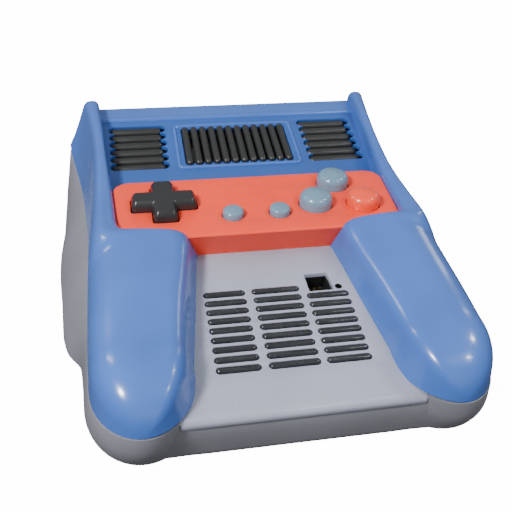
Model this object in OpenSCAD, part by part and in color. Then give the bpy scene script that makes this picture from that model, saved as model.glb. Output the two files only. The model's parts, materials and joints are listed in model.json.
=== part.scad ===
// Handheld-style game console with built-in controller: a wedge body with two palm grips,
// a control panel across the middle, a louvred front deck between the grips and a vent deck behind.
// Millimetres, +Z up, front of the console towards -Y, origin under the middle of the footprint.

/* [Casing] */
// Wall thickness of the casing shells
wall = 2.2; // [1.8:0.1:2.6]
// Height of the casing floor's underside above the table
floor_z = 0.8; // [0.5:0.1:1.2]
// Gap between the grey casing and the blue shell at the parting line
seam_gap = 0.3; // [0.1:0.1:0.5]
// Rings between two stations of the casing curves
ring_steps = 2; // [1:1:3]

/* [Front deck] */
// Tilt of the deck between the grips, degrees
deck_tilt = 10; // [8:0.5:12]
// Thickness of the deck plate
deck_t = 2; // [1.6:0.1:2.4]
// Louvre rows on the deck
louvre_rows = 9; // [7:1:9]
// Distance between two louvre rows
louvre_pitch = 4.29; // [4.1:0.01:4.3]
// Width of one louvre slot
louvre_w = 3; // [2.4:0.1:3.2]
// Width of the link socket opening
link_w = 8.6; // [8:0.1:9]
// Diameter of the reset pinhole
pinhole_d = 2.6; // [1.8:0.1:2.8]

/* [Vent deck] */
// Tilt of the vent deck behind the control panel, degrees
vent_tilt = 12.4; // [11:0.2:13]
// Bars in each side grille
side_bars = 6; // [5:1:6]
// Bars in the centre grille
centre_bars = 12; // [10:1:12]

/* [Controls] */
// Tilt of the control panel, degrees
panel_tilt = 3.43; // [3:0.01:4]
// Thickness of the control panel
panel_t = 2.2; // [2:0.1:2.4]
// Diameter of the three action buttons
action_d = 13.2; // [12.4:0.1:14]
// Diameter of the two menu buttons
menu_d = 8.2; // [7.6:0.1:9]
// Length of the direction pad from tip to tip
dpad_len = 25.4; // [23:0.2:26]
// Width of one arm of the direction pad
dpad_arm = 9.4; // [8:0.1:9.6]
// Gap around each button in the panel
button_gap = 0.3; // [0.25:0.05:0.4]

/* [Hidden] */
$fn = 48;
half_len = 91.5;
deck_y = -68.1;
deck_z = 24.2;
panel_y = -15.3;
panel_z = 44.2;
vent_y = 26.5;
vent_z = 40.2;

// ---- Curves ----
function mix(a, b, t) = a + (b - a) * t;
function unit(v) = v / norm(v);
function flat(v) = [v.x, v.y, 0];
// Catmull-Rom curve through a list of stations, each a list of points
function through(p0, p1, p2, p3, t) =
    (2 * p1 + (p2 - p0) * t + (2 * p0 - 5 * p1 + 4 * p2 - p3) * t * t
    + (3 * p1 - p0 - 3 * p2 + p3) * t * t * t) / 2;
function station(list, s) =
    let (i = min(floor(s), len(list) - 2), t = s - i)
    [for (k = [0 : len(list[0]) - 1])
        let (
            a = list[i][k],
            b = list[i + 1][k],
            before = i > 0 ? list[i - 1][k] : 2 * a - b,
            after = i + 2 < len(list) ? list[i + 2][k] : 2 * b - a
        )
        through(before, a, b, after, t)];
// A corner p rounded by a parabola that starts a part-way to "from" and ends a part-way to "to"
function corner(from, p, to, fa, fb, n) =
    let (a = mix(p, from, fa), b = mix(p, to, fb))
    [for (k = [0 : n]) let (t = k / n) a * (1 - t) * (1 - t) + p * 2 * t * (1 - t) + b * t * t];
// Sine and cosine pair of the nose's quarter ellipse
function nose_angles(n) = [for (k = [1 : n]) 90 * k / (n + 0.35)];

// ---- Upper shell rails ----
// Each station: outer seam, outer shoulder, inner top edge, foot of the inner wall, roundness weight
rail_stations = [
    [[76.9, 91.5, 36.3], [68.6, 91.5, 52.6], [62.3, 91.5, 52.6], [61.5, 91.5, 47.6], 0],
    [[76.7, 90.2, 35.3], [68.2, 90.2, 56.8], [61.8, 90.2, 56.8], [61, 90.2, 47.8], 0],
    [[76.2, 87, 33], [67.4, 87, 60], [61.3, 87, 60], [60.7, 87, 48.6], 0],
    [[74.6, 79.5, 29.8], [66.2, 80, 60], [60.9, 80, 59.6], [60.4, 79.5, 48.2], 0],
    [[71.6, 62, 26], [64.2, 62, 57.6], [59.6, 62, 57.2], [59.2, 62, 44.6], 0.05],
    [[69.9, 44.3, 24], [63.2, 44.3, 54.2], [58.5, 44.3, 53.8], [58.2, 44.3, 40.6], 0.15],
    [[68.9, 26.5, 22.8], [63.6, 26.5, 50.6], [57.3, 26.5, 49.6], [57.1, 26.5, 36.8], 0.35],
    [[68.6, 8, 21.8], [64.6, 8, 49.2], [56.2, 8, 47.6], [56.2, 8, 37], 0.55],
    [[68.5, -6, 21.4], [65.2, -6, 49.2], [55.4, -6, 47.4], [55.3, -6, 37.5], 0.7],
    [[68.5, -15, 21.2], [65.4, -14.5, 49.4], [52.5, -12, 47.7], [52.6, -11.4, 38], 0.8],
    [[68.5, -21, 21], [65.6, -20, 49.2], [43, -13.6, 48.3], [42, -12.4, 38], 0.9],
    [[68.5, -26, 21], [65.6, -24.5, 48.6], [32.8, -14.2, 47.5], [27.6, -12.9, 35], 1],
    [[68.5, -30, 20.9], [65.6, -29, 47.9], [30.8, -18.5, 46.5], [26.2, -15, 31], 1],
    [[68.4, -37, 20.8], [65.6, -36, 46.7], [31.8, -28, 44.3], [27.1, -24, 28.4], 1],
    [[68.2, -50, 20.5], [65.6, -50, 44.4], [34.9, -47, 41.2], [29.5, -44, 25.2], 1],
    [[67.6, -66, 20.2], [65.4, -66, 41.6], [36.8, -66, 37.8], [32.7, -66, 21.5], 1],
];
grip_round = [0.62, 0.55, 0.16, 0.3];
cheek_round = [0.12, 0.45, 0.4, 0.3];
nose_x = 50.5;
nose_len = 25.3;
nose_rise = 1.3;
shoulder_steps = 6;
edge_steps = 3;

// Control points moved inwards by the wall thickness
function inset_station(s) =
    let (out = unit(flat(s[1] - s[2])))
    [s[0] - out * wall, s[1] - out * wall - [0, 0, wall], s[2] + out * wall - [0, 0, wall],
     s[3] + out * wall, s[4]];
// A station closed in towards the tip of the nose, which is reach long
function nose_station(s, angle, reach) =
    let (
        part = sin(angle),
        wide = cos(angle),
        high = pow(1 - pow(part, 2.4), 1 / 2.4),
        base = s[0].z
    )
    [for (k = [0 : 4]) k == 4 ? s[4] : [
        nose_x + (s[k].x - nose_x) * wide,
        s[k].y - reach * part,
        base + nose_rise * part + (s[k].z - base
            - (k == 1 || k == 2 ? 0.1 * nose_len * part : 0)) * (k == 0 ? 1 : high)
    ]];
function rail_path(s) =
    let (f = mix(cheek_round, grip_round, s[4]))
    concat(
        [s[0]],
        corner(s[0], s[1], s[2], f[0], f[1], shoulder_steps),
        corner(s[1], s[2], s[3], f[2], f[3], edge_steps),
        [s[3]]
    );
// Rings of the outer skin (inner = false) or of the inner skin (inner = true)
function rail_rings(inner) =
    let (
        last = len(rail_stations) - 1,
        tail = inner ? inset_station(rail_stations[last]) : rail_stations[last],
        reach = inner ? nose_len - wall : nose_len
    )
    concat(
        [for (k = [0 : last * ring_steps])
            let (s = station(rail_stations, k / ring_steps))
            rail_path(inner ? inset_station(s) : s)],
        [for (a = nose_angles(8)) rail_path(nose_station(tail, a, reach))]
    );

// A closed skin between an outer and an inner sheet of the same rows and columns.
// The first row and both long edges are closed by strips, the last row by flat fans.
module double_skin(outer, inner) {
    rows = len(outer);
    cols = len(outer[0]);
    half = rows * cols;
    points = concat([for (r = outer) each r], [for (r = inner) each r]);
    function at(side, r, c) = side * half + r * cols + c;
    sheet = [for (r = [0 : rows - 2], c = [0 : cols - 2]) each [
        [at(0, r, c), at(0, r + 1, c + 1), at(0, r, c + 1)],
        [at(0, r, c), at(0, r + 1, c), at(0, r + 1, c + 1)],
        [at(1, r, c), at(1, r, c + 1), at(1, r + 1, c + 1)],
        [at(1, r, c), at(1, r + 1, c + 1), at(1, r + 1, c)]
    ]];
    edges = [for (r = [0 : rows - 2]) each [
        [at(0, r, 0), at(1, r + 1, 0), at(0, r + 1, 0)],
        [at(0, r, 0), at(1, r, 0), at(1, r + 1, 0)],
        [at(0, r, cols - 1), at(0, r + 1, cols - 1), at(1, r + 1, cols - 1)],
        [at(0, r, cols - 1), at(1, r + 1, cols - 1), at(1, r, cols - 1)]
    ]];
    start = [for (c = [0 : cols - 2]) each [
        [at(0, 0, c), at(1, 0, c + 1), at(1, 0, c)],
        [at(0, 0, c), at(0, 0, c + 1), at(1, 0, c + 1)]
    ]];
    end = concat(
        [for (c = [1 : cols - 2]) each [
            [at(0, rows - 1, 0), at(0, rows - 1, c + 1), at(0, rows - 1, c)],
            [at(1, rows - 1, 0), at(1, rows - 1, c), at(1, rows - 1, c + 1)]
        ]],
        [[at(0, rows - 1, 0), at(1, rows - 1, cols - 1), at(0, rows - 1, cols - 1)],
         [at(0, rows - 1, 0), at(1, rows - 1, 0), at(1, rows - 1, cols - 1)]]
    );
    polyhedron(points, concat(sheet, edges, start, end), convexity = 8);
}

// ---- Casing wall ----
// Each station: ground corner, flank, lip at the parting line, for the right half from rear to front
casing_stations = [
    [[0, 90.9, floor_z], [0, half_len, 18], [0, half_len, 35]],
    [[40, 90.9, floor_z], [40, half_len, 18], [38, half_len, 35]],
    [[64, 90.9, floor_z], [64, half_len, 18], [62, half_len, 35.5]],
    [[77, 89.8, floor_z], [75.5, 90.8, 18], [72.5, 91.3, 36]],
    [[81.5, 85.5, floor_z], [79.8, 87.3, 17], [76.9, 89.8, 35]],
    [[82.7, 76, floor_z], [79.6, 77.5, 16], [74.8, 79.5, 29.8]],
    [[83, 60, floor_z], [78.8, 61, 14], [71.9, 62, 26]],
    [[84.2, 42, floor_z], [78.9, 43, 13], [70.2, 44.3, 24]],
    [[83.9, 24, floor_z], [78.2, 25, 12], [69.2, 26.5, 22.8]],
    [[82.3, 5, floor_z], [77.2, 6, 11], [68.9, 8, 21.8]],
    [[81.4, -9, floor_z], [76.4, -9, 11], [68.8, -9, 21.3]],
    [[80.5, -19, floor_z], [75.5, -20, 11], [68.8, -21, 21]],
    [[78.2, -27.5, floor_z], [73.8, -29, 11], [68.7, -30, 20.9]],
    [[73.6, -34.5, floor_z], [71.6, -37, 11], [68.6, -38, 20.7]],
    [[72.4, -40, floor_z], [70.9, -43, 11], [68.4, -46, 20.5]],
    [[71.6, -48, floor_z], [70.4, -54, 11], [68, -60, 20.3]],
];
// Lobe outline at three levels: centre x, half-width, centre y, half-depth, height, sweep in degrees
lobe_levels = [
    [51.2, 20, -54, 30, floor_z, 106],
    [51.5, 18.6, -62, 28, 11, 121],
    [50.6, 17.3, -66, 25.5, 20.2, 129],
];
lobe_rings = 12;
casing_front = [
    [[38.2, -82.8, floor_z], [37.6, -85.2, 11], [37.2, -85.8, 18]],
    [[31, -83, floor_z], [31, -85.2, 11], [31, -85.7, 17.8]],
    [[0, -83, floor_z], [0, -85.2, 11], [0, -85.7, 17.8]],
];
casing_half = concat(
    [for (k = [0 : (len(casing_stations) - 1) * ring_steps]) station(casing_stations, k / ring_steps)],
    [for (k = [1 : lobe_rings])
        [for (l = lobe_levels) let (a = l[5] * k / lobe_rings)
            [l[0] + l[1] * cos(a), l[2] - l[3] * sin(a), l[4] + (l[4] > 20 ? nose_rise * sin(a) : 0)]]],
    casing_front
);
function flip(s) = [for (p = s) [-p.x, p.y, p.z]];
// The whole outline, once round, without repeating the two rings on the centre line
casing_loop = concat(
    casing_half,
    [for (k = [len(casing_half) - 2 : -1 : 1]) flip(casing_half[k])]
);
// Inward direction in plan at ring k, at one of the three levels
function inward(k, level) =
    let (
        n = len(casing_loop),
        d = unit(casing_loop[(k + 1) % n][level] - casing_loop[(k + n - 1) % n][level])
    )
    unit([d.y, -d.x, 0]);
casing_foot = 8;
casing_floor_t = 2.6;
corner_steps = 3;
function casing_section(k) =
    let (
        s = casing_loop[k],
        in0 = inward(k, 0),
        in1 = inward(k, 1),
        in2 = inward(k, 2),
        foot = s[0] - unit(flat(s[0])) * casing_foot,
        top = s[2] - [0, 0, seam_gap]
    )
    concat(
        [foot],
        corner(foot, s[0], s[1], 0.5, 0.45, corner_steps),
        corner(s[0], s[1], top, 0.4, 0.4, corner_steps),
        [top,
         top + in2 * wall,
         s[1] + in1 * wall,
         s[0] + in0 * (wall + 1.8) + [0, 0, casing_floor_t],
         foot + [0, 0, casing_floor_t]]
    );
// A tub: sections joined round a loop, with the first and last points of each closed to a floor
module tub(sections) {
    n = len(sections);
    m = len(sections[0]);
    bottom = n * m;
    points = concat(
        [for (section = sections) each section],
        [[0, 0, sections[0][0].z], [0, 0, sections[0][m - 1].z]]
    );
    function at(k, j) = (k % n) * m + j;
    sides = [for (k = [0 : n - 1], j = [0 : m - 2]) each [
        [at(k, j), at(k + 1, j + 1), at(k, j + 1)],
        [at(k, j), at(k + 1, j), at(k + 1, j + 1)]
    ]];
    floors = [for (k = [0 : n - 1]) each [
        [at(k + 1, 0), at(k, 0), bottom],
        [at(k, m - 1), at(k + 1, m - 1), bottom + 1]
    ]];
    polyhedron(points, concat(sides, floors));
}

// ---- Working planes ----
module on_deck() {
    translate([0, deck_y, deck_z]) rotate([deck_tilt, 0, 0]) children();
}
module on_vent() {
    translate([0, vent_y, vent_z]) rotate([vent_tilt, 0, 0]) children();
}
module on_panel() {
    translate([0, panel_y, panel_z]) rotate([panel_tilt, 0, 0]) children();
}
module both_sides() {
    children();
    mirror([1, 0, 0]) children();
}
// A box given by its lowest and highest corners
module block(low, high) {
    translate(low) cube(high - low);
}
// A round post with a blind bore that opens downwards
module blind_post(pos, r, bore_r, bore_len, low, high) {
    translate([pos.x, pos.y, low]) difference() {
        cylinder(r = r, h = high - low);
        translate([0, 0, -0.1]) cylinder(r = bore_r, h = bore_len + 0.1);
    }
}
// A slot with round ends along X, drawn flat
module slot_2d(length, width) {
    square([length - width, width], center = true);
    for (end = [-1, 1]) translate([end * (length - width) / 2, 0]) circle(d = width);
}
// A pan-head screw with its head up at z = 0 and its shank below
module screw(shank_d, length, head_d, head_h) {
    difference() {
        union() {
            cylinder(d = head_d, h = head_h);
            translate([0, 0, -length]) cylinder(d = shank_d, h = length + 0.1);
        }
        for (turn = [0, 90]) rotate([0, 0, turn])
            translate([0, 0, head_h]) cube([head_d * 0.55, head_d * 0.14, head_h], center = true);
    }
}
// Points of a polygon with rounded corners: each corner is [x, y, radius]
function arc_corner(a, p, b) =
    let (
        u = unit([a.x - p.x, a.y - p.y]),
        v = unit([b.x - p.x, b.y - p.y]),
        half = acos(u * v) / 2,
        reach = p[2] / tan(half),
        start = [p.x, p.y] + u * reach,
        end = [p.x, p.y] + v * reach,
        centre = [p.x, p.y] + unit(u + v) * p[2] / sin(half),
        a0 = atan2(start.y - centre.y, start.x - centre.x),
        a1 = atan2(end.y - centre.y, end.x - centre.x),
        turn = (a1 - a0 + 540) % 360 - 180
    )
    p[2] < 0.01 ? [[p.x, p.y]]
    : [for (k = [0 : 6]) centre + p[2] * [cos(a0 + turn * k / 6), sin(a0 + turn * k / 6)]];
function rounded(c) =
    let (n = len(c)) [for (k = [0 : n - 1]) each arc_corner(c[(k + n - 1) % n], c[k], c[(k + 1) % n])];
function mirrored(c) = concat(c, [for (k = [len(c) - 1 : -1 : 0]) [-c[k].x, c[k].y, c[k][2]]]);
// Half profile of a capsule turned about its long axis
function capsule(length, r) = concat(
    [for (k = [0 : 5]) [r * sin(90 * k / 5), length / 2 - r + r * cos(90 * k / 5)]],
    [for (k = [0 : 5]) [r * cos(90 * k / 5), r - length / 2 - r * sin(90 * k / 5)]]
);
module bar_x(length, r) {
    rotate([0, 90, 0]) rotate_extrude() polygon(capsule(length, r));
}

// ---- Places shared by several pieces ----
dpad_pos = [-37, 23];
action_pos = [[34, 31.6], [23.1, 16.8], [42.4, 15.2]];
menu_pos = [[-11, 12.4], [7.5, 12.4]];
panel_depth = 41.9;
stem_half = 29.6;
panel_tab_pos = [[50, 7], [52, 36.2]];
board_boss_pos = [[-18.5, 35.3], [16, 35.3], [-19, 7], [33, 7]];
case_post_front = [51, -62];
case_post_rear = [66, 80];
case_post_top = [39.5, 44];
deck_post_pos = [[27, -76], [6, -20.4]];
deck_post_split = 6.5;
board_hole_pos = [[54, -12], [54, 68]];
foot_pos = [[40, -55], [62, 66]];
post_split = 18;
deck_rear = 57.2;
deck_front = -19;
louvre_first = 34.4;
louvre_columns = [[-19, 15.4], [0, 17.9], [18.8, 15.9]];
link_pos = [16.5, 36.9];
link_len = 9;
pinhole_pos = [23.8, 33.9];
deck_bars_w = 2.5;
side_window = [[32, 17.4], [57, 50.2]];
centre_window = [[-24.6, 19.4], [24.6, 46.6]];
action_height = 5.7;
menu_height = 3;
flange_top = -2.3;
flange_t = 1.2;
stem_low = -5.4;
control_board_top = -7.9;
board_low = 8;
board_t = 1.6;
board_top = board_low + board_t;
speaker_y = 14;

// ---- Shells ----
module rail() {
    double_skin(rail_rings(false), rail_rings(true));
}
vent_t = 2;
vent_outline = [[-57.9, -2.4], [57.9, -2.4], [58.4, 0], [61.2, 56], [-61.2, 56], [-58.4, 0]];
rear_profile = [
    [79.4, 49.6], [79.6, 52.4], [80.4, 53.2], [89.6, 54.6], [91.2, 53.8], [91.2, 50], [82, 49.6]
];
rear_outline = [
    [-75.4, 36.4], [-62, 35.6], [-40, 35.1], [40, 35.1], [62, 35.6], [75.4, 36.4], [68, 51.4],
    [62, 52.2], [61, 53.6], [-61, 53.6], [-62, 52.2], [-68, 51.4]
];
module window_2d(bars, pitch, length) {
    for (k = [0 : bars - 1]) translate([0, (k + 0.5) * pitch]) slot_2d(length, pitch * 1.04);
}
module side_window_2d() {
    pitch = (side_window[1].y - side_window[0].y) / side_bars;
    middle = (side_window[0].x + side_window[1].x) / 2;
    translate([middle, side_window[0].y])
        window_2d(side_bars, pitch, side_window[1].x - side_window[0].x + 1);
}
module centre_window_2d() {
    pitch = (centre_window[1].x - centre_window[0].x) / centre_bars;
    middle = (centre_window[0].y + centre_window[1].y) / 2;
    translate([centre_window[1].x, middle]) rotate([0, 0, 90])
        window_2d(centre_bars, pitch, centre_window[1].y - centre_window[0].y + 1);
}
module vent_rib() {
    w = centre_window[1].x + 3.2;
    low = centre_window[0].y - 2.6;
    high = centre_window[1].y + 2.6;
    linear_extrude(0.5) difference() {
        polygon(rounded([[-w, low, 2], [w, low, 2], [w, high, 2], [-w, high, 2]]));
        polygon(rounded([[-w + 1, low + 1, 1.2], [w - 1, low + 1, 1.2],
            [w - 1, high - 1, 1.2], [-w + 1, high - 1, 1.2]]));
    }
}
module panel_tabs() {
    for (p = panel_tab_pos) translate([0, 0, -7]) difference() {
        block([p.x - 2.6, p.y - 2.6, 0], [57 + p.y * 0.03, p.y + 2.6, 1.8]);
        translate([p.x, p.y, -1]) cylinder(r = 1.2, h = 4);
    }
}
module top_shell() color("steelblue") {
    difference() {
        union() {
            both_sides() {
                rail();
                on_panel() panel_tabs();
                blind_post(case_post_front, 3.4, 1.25, 12, post_split, case_post_top[0]);
                blind_post(case_post_rear, 3.4, 1.25, 12, post_split, case_post_top[1]);
            }
            on_vent() translate([0, 0, -vent_t]) linear_extrude(vent_t) polygon(vent_outline);
            on_vent() translate([0, 0, -0.2]) vent_rib();
            translate([-61, 0, 0]) rotate([90, 0, 90]) linear_extrude(122) polygon(rear_profile);
            translate([0, half_len - 0.2, 0]) rotate([90, 0, 0])
                linear_extrude(wall) polygon(rear_outline);
        }
        on_vent() translate([0, 0, -4]) linear_extrude(8) {
            centre_window_2d();
            both_sides() side_window_2d();
        }
    }
}
module base_tub() color("darkgray") {
    sections = [for (k = [0 : len(casing_loop) - 1]) casing_section(k)];
    difference() {
        union() {
            tub(sections);
            both_sides() {
                for (p = [case_post_front, case_post_rear])
                    translate([p.x, p.y, 1.5]) cylinder(r = 4.4, h = post_split - 1.6);
                for (p = deck_post_pos)
                    translate([p.x, p.y, 1.5]) cylinder(r = 4.4, h = deck_post_split - 1.6);
                for (p = board_hole_pos) translate([p.x, p.y, 1.5]) cylinder(r = 3, h = board_low - 1.5);
            }
            for (k = [0 : 3]) translate([-36 + 24 * k, 0, 1.5]) block([-0.8, -8, 0], [0.8, 70, 4]);
        }
        both_sides() {
            for (p = [case_post_front, case_post_rear]) translate([p.x, p.y, 0]) {
                cylinder(r = 1.7, h = post_split + 1);
                cylinder(r = 3.3, h = 13);
            }
            for (p = deck_post_pos) translate([p.x, p.y, 0]) {
                cylinder(r = 1.7, h = 10);
                cylinder(r = 3.3, h = 4);
            }
            for (p = board_hole_pos) translate([p.x, p.y, 3.4]) cylinder(r = 1.05, h = 6);
        }
        rear_openings();
    }
}
jack_pos = [42, 14.2];
av_pos = [22, 14.2];
switch_pos = [-42, 13.6];
switch_slot = [9.6, 4];
switch_travel = 3.4;
port_y = half_len - wall - 1.7;
module rear_openings() {
    translate([jack_pos.x, half_len - 4, jack_pos.y]) rotate([-90, 0, 0]) cylinder(r = 4.6, h = 6);
    translate([av_pos.x, half_len - 4, av_pos.y]) rotate([-90, 0, 0]) cylinder(r = 3.9, h = 6);
    translate([switch_pos.x, half_len, switch_pos.y])
        cube([switch_slot.x, 8, switch_slot.y], center = true);
}

// ---- Front deck and its inserts ----
deck_outline = mirrored([
    [38.6, -20, 0], [38.3, -18.4, 0], [37.6, -16.5, 0], [36.1, -13.6, 0], [34.2, -5.9, 0],
    [32, 9.5, 0], [29.3, 29.5, 0], [27.6, 44, 0], [26.6, 58, 0]
]);
function narrowed(c, by) = [for (p = c) [p.x - sign(p.x) * by, p.y]];
module louvre_rows_at(column) {
    first = column == 2 ? 1 : 0;
    for (k = [first : louvre_rows - 1])
        translate([louvre_columns[column].x, louvre_first - k * louvre_pitch]) children();
}
module front_deck() color("silver") {
    lip = [
        [deck_front, -3], [deck_front, -1.7], [deck_front + 0.5, -0.7], [deck_front + 1.6, 0],
        [deck_rear, 0], [deck_rear, -deck_t], [deck_front + 2.4, -deck_t], [deck_front + 2.4, -3]
    ];
    difference() {
        union() {
            on_deck() intersection() {
                union() {
                    translate([0, 0, -1]) linear_extrude(1.1) polygon(narrowed(deck_outline, 0.3));
                    translate([0, 0, -4]) linear_extrude(3) polygon(narrowed(deck_outline, 0.9));
                }
                translate([-50, 0, 0]) rotate([90, 0, 90]) linear_extrude(100) polygon(lip);
            }
            for (side = [-1, 1]) for (p = deck_post_pos)
                blind_post([side * p.x, p.y], 3.2, 1.25, 10, deck_post_split,
                    deck_z + (p.y - deck_y) * tan(deck_tilt) - 1.4);
            on_deck() {
                for (p = link_boss_pos) translate([p.x, p.y, -9]) cylinder(r = 1.8, h = 8);
                for (x = [-1, 1], y = [-1, 1])
                    translate([x * speaker_ear.x, speaker_y + y * speaker_ear.y, -4.8])
                        cylinder(r = 1.25, h = 4);
            }
        }
        on_deck() {
            for (c = [0 : 2]) translate([0, 0, -4]) linear_extrude(8)
                louvre_rows_at(c) slot_2d(louvre_columns[c].y, louvre_w);
            translate([link_pos.x, link_pos.y, 0])
                block([-link_w / 2, -link_len / 2, -4], [link_w / 2, link_len / 2, 1]);
            translate([pinhole_pos.x, pinhole_pos.y, -4]) cylinder(d = pinhole_d, h = 5);
            for (p = link_boss_pos) translate([p.x, p.y, -9.1]) cylinder(r = 0.8, h = 5);
            for (x = [-1, 1], y = [-1, 1])
                translate([x * speaker_ear.x, speaker_y + y * speaker_ear.y, -4.9])
                    cylinder(r = 0.7, h = 3);
        }
    }
}
link_boss_pos = [[8.9, 40.4], [25.5, 40.4]];
speaker_ear = [10.1, 14.5];
module deck_louvres(column) color("dimgray") {
    w = louvre_columns[column].y;
    first = louvre_first - (column == 2 ? louvre_pitch : 0);
    last = louvre_first - (louvre_rows - 1) * louvre_pitch;
    on_deck() {
        translate([0, 0, -3.2]) linear_extrude(3.8)
            louvre_rows_at(column) slot_2d(w - 0.5, deck_bars_w);
        for (x = [-w / 2 + 3.2, 0, w / 2 - 3.2]) translate([louvre_columns[column].x + x, 0, 0])
            block([-0.8, last - 1.4, -4.6], [0.8, first + 0.5, -2.7]);
    }
}
module link_socket() color("black") {
    low = [-link_w / 2 - 0.8, -link_len / 2 - 0.8, -9];
    on_deck() translate([link_pos.x, link_pos.y, 0]) difference() {
        block(low, [-low.x, -low.y, -2.1]);
        block([-link_w / 2, -link_len / 2, -7.6], [link_w / 2, link_len / 2, 0]);
    }
}
module link_contacts() color("gold") {
    on_deck() translate([link_pos.x, link_pos.y, -7.6]) for (x = [-1 : 1], side = [-1, 1])
        translate([x * 2.2, side * 2.6, 0]) block([-0.5, -0.3, 0], [0.5, 0.3, 1.6]);
}
module link_board() color("darkgreen") {
    on_deck() difference() {
        block([7, 28, -10.7], [28, 42.5, -9.1]);
        for (p = link_boss_pos) translate([p.x, p.y, -12]) cylinder(r = 1, h = 4);
    }
}
module link_board_screws() color("silver") {
    on_deck() for (p = link_boss_pos)
        translate([p.x, p.y, -10.7]) mirror([0, 0, 1]) screw(1.5, 5, 3, 1);
}
module reset_switch() color("black") {
    on_deck() translate([pinhole_pos.x, pinhole_pos.y, 0]) difference() {
        block([-1.5, -2.4, -9], [1.6, 2.4, -5]);
        translate([0, 0, -7.6]) cylinder(r = 0.95, h = 4);
    }
}
module reset_plunger() color("white") {
    on_deck() translate([pinhole_pos.x, pinhole_pos.y, -6.9]) cylinder(r = 0.85, h = 4.5);
}
module speaker_basket() color("gray") {
    on_deck() translate([0, speaker_y, 0]) {
        difference() {
            translate([0, 0, -6]) linear_extrude(1.2) polygon(rounded([
                [-12.4, -17, 2], [12.4, -17, 2], [12.4, 17, 2], [-12.4, 17, 2]]));
            translate([0, 0, -7]) cylinder(r = 11.6, h = 3);
            for (x = [-1, 1], y = [-1, 1])
                translate([x * speaker_ear.x, y * speaker_ear.y, -7]) cylinder(r = 0.9, h = 3);
        }
        rotate_extrude() polygon([[11.5, -4.9], [11.5, -6.2], [8.6, -11.4], [0, -11.4], [0, -12.4],
            [9.4, -12.4], [12.4, -6.1], [12.4, -4.9]]);
    }
}
module speaker_cone() color("dimgray") {
    on_deck() translate([0, speaker_y, 0]) rotate_extrude() polygon([
        [11.3, -5], [9.8, -5.5], [4, -9.6], [2.2, -8.6], [0, -8.2], [0, -8.7], [2.1, -9.2],
        [3.9, -10.3], [10, -6.1], [11.3, -5.6]]);
}
module speaker_magnet() color("silver") {
    on_deck() translate([0, speaker_y, -16]) cylinder(r = 9, h = 3.5);
}
module speaker_screws() color("silver") {
    on_deck() for (x = [-1, 1], y = [-1, 1])
        translate([x * speaker_ear.x, speaker_y + y * speaker_ear.y, -6])
            mirror([0, 0, 1]) screw(1.3, 3.4, 2.6, 0.9);
}

// ---- Vent grilles ----
module grille_bars(bars, pitch, length, r, axis_z) {
    for (k = [0 : bars - 1]) translate([0, (k + 0.5) * pitch, axis_z]) bar_x(length, r);
    for (end = [-1, 1]) translate([end * (length / 2 - 3), 0, 0])
        block([-1.5, -1.5, -4.8], [1.5, bars * pitch + 1.5, -2.5]);
    if (axis_z > -1) for (k = [0 : bars - 1], end = [-1, 1])
        translate([end * (length / 2 - 3), (k + 0.5) * pitch, 0]) block([-1, -0.8, -3], [1, 0.8, axis_z]);
}
module side_grille(side) {
    size = side_window[1] - side_window[0];
    on_vent() translate([side * (side_window[0].x + size.x / 2) - 0.8, side_window[0].y, 0])
        grille_bars(side_bars, size.y / side_bars, size.x - 1.2, 2.1, -2.1);
}
module vent_grille_left() color("dimgray") side_grille(-1);
module vent_grille_right() color("dimgray") side_grille(1);
module vent_grille_centre() color("dimgray") {
    size = centre_window[1] - centre_window[0];
    on_vent() translate([centre_window[1].x, centre_window[0].y + size.y / 2, 0]) rotate([0, 0, 90])
        grille_bars(centre_bars, size.x / centre_bars, size.y + 0.4, 1.6, -0.1);
}

// ---- Control panel and what it carries ----
panel_outline = rounded(mirrored([
    [stem_half, 0, 1.5], [stem_half, 3.6, 1], [54.6, 3.6, 7], [56.7, panel_depth, 6]
]));
skirt_outline = rounded(mirrored([
    [27.8, 0, 1.5], [27.8, 3.6, 1], [54.6, 3.6, 7], [56.7, panel_depth, 6]
]));
module cross_2d(length, arm) {
    square([length, arm], center = true);
    square([arm, length], center = true);
}
module control_panel() color("tomato") {
    inner = rounded(mirrored([[25.2, -3, 0], [25.2, 5.8, 0], [52.4, 5.8, 5], [54.4, 39.8, 3]]));
    difference() {
        union() {
            on_panel() {
                translate([0, 0, -panel_t]) linear_extrude(panel_t) polygon(panel_outline);
                difference() {
                    translate([0, 0, -5]) linear_extrude(3) polygon(skirt_outline);
                    translate([0, 0, -6]) linear_extrude(5) polygon(inner);
                }
                block([-51, panel_depth - 2, -6], [51, panel_depth - 0.05, -1]);
                both_sides() for (p = panel_tab_pos) translate([p.x, p.y, -5.1]) cylinder(r = 2.2, h = 4);
                for (p = board_boss_pos)
                    translate([p.x, p.y, control_board_top]) cylinder(r = 2.3, h = 6.4);
            }
            on_deck() translate([0, 57.6, 0]) rotate([90, 0, 0]) linear_extrude(2.05)
                polygon([[-26.8, 0.2], [26.8, 0.2], [stem_half, 9.4], [-stem_half, 9.4]]);
        }
        on_panel() {
            translate([dpad_pos.x, dpad_pos.y, -4]) linear_extrude(8)
                cross_2d(dpad_len + 2 * dpad_gap, dpad_arm + 2 * dpad_gap);
            for (p = action_pos)
                translate([p.x, p.y, -4]) cylinder(d = action_d + 2 * button_gap, h = 8);
            for (p = menu_pos)
                translate([p.x, p.y, -4]) cylinder(d = menu_d + 2 * button_gap, h = 8);
            both_sides() for (p = panel_tab_pos) translate([p.x, p.y, -5.2]) cylinder(r = 0.9, h = 4.2);
            for (p = board_boss_pos)
                translate([p.x, p.y, control_board_top - 0.1]) cylinder(r = 0.9, h = 5);
        }
    }
}
dpad_gap = 0.45;
dpad_height = 4;
dpad_pivot_z = -5.6;
dpad_ball_r = 2.2;
dpad_contact_r = 9;
module on_dpad() {
    on_panel() translate([dpad_pos.x, dpad_pos.y, 0]) children();
}
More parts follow.
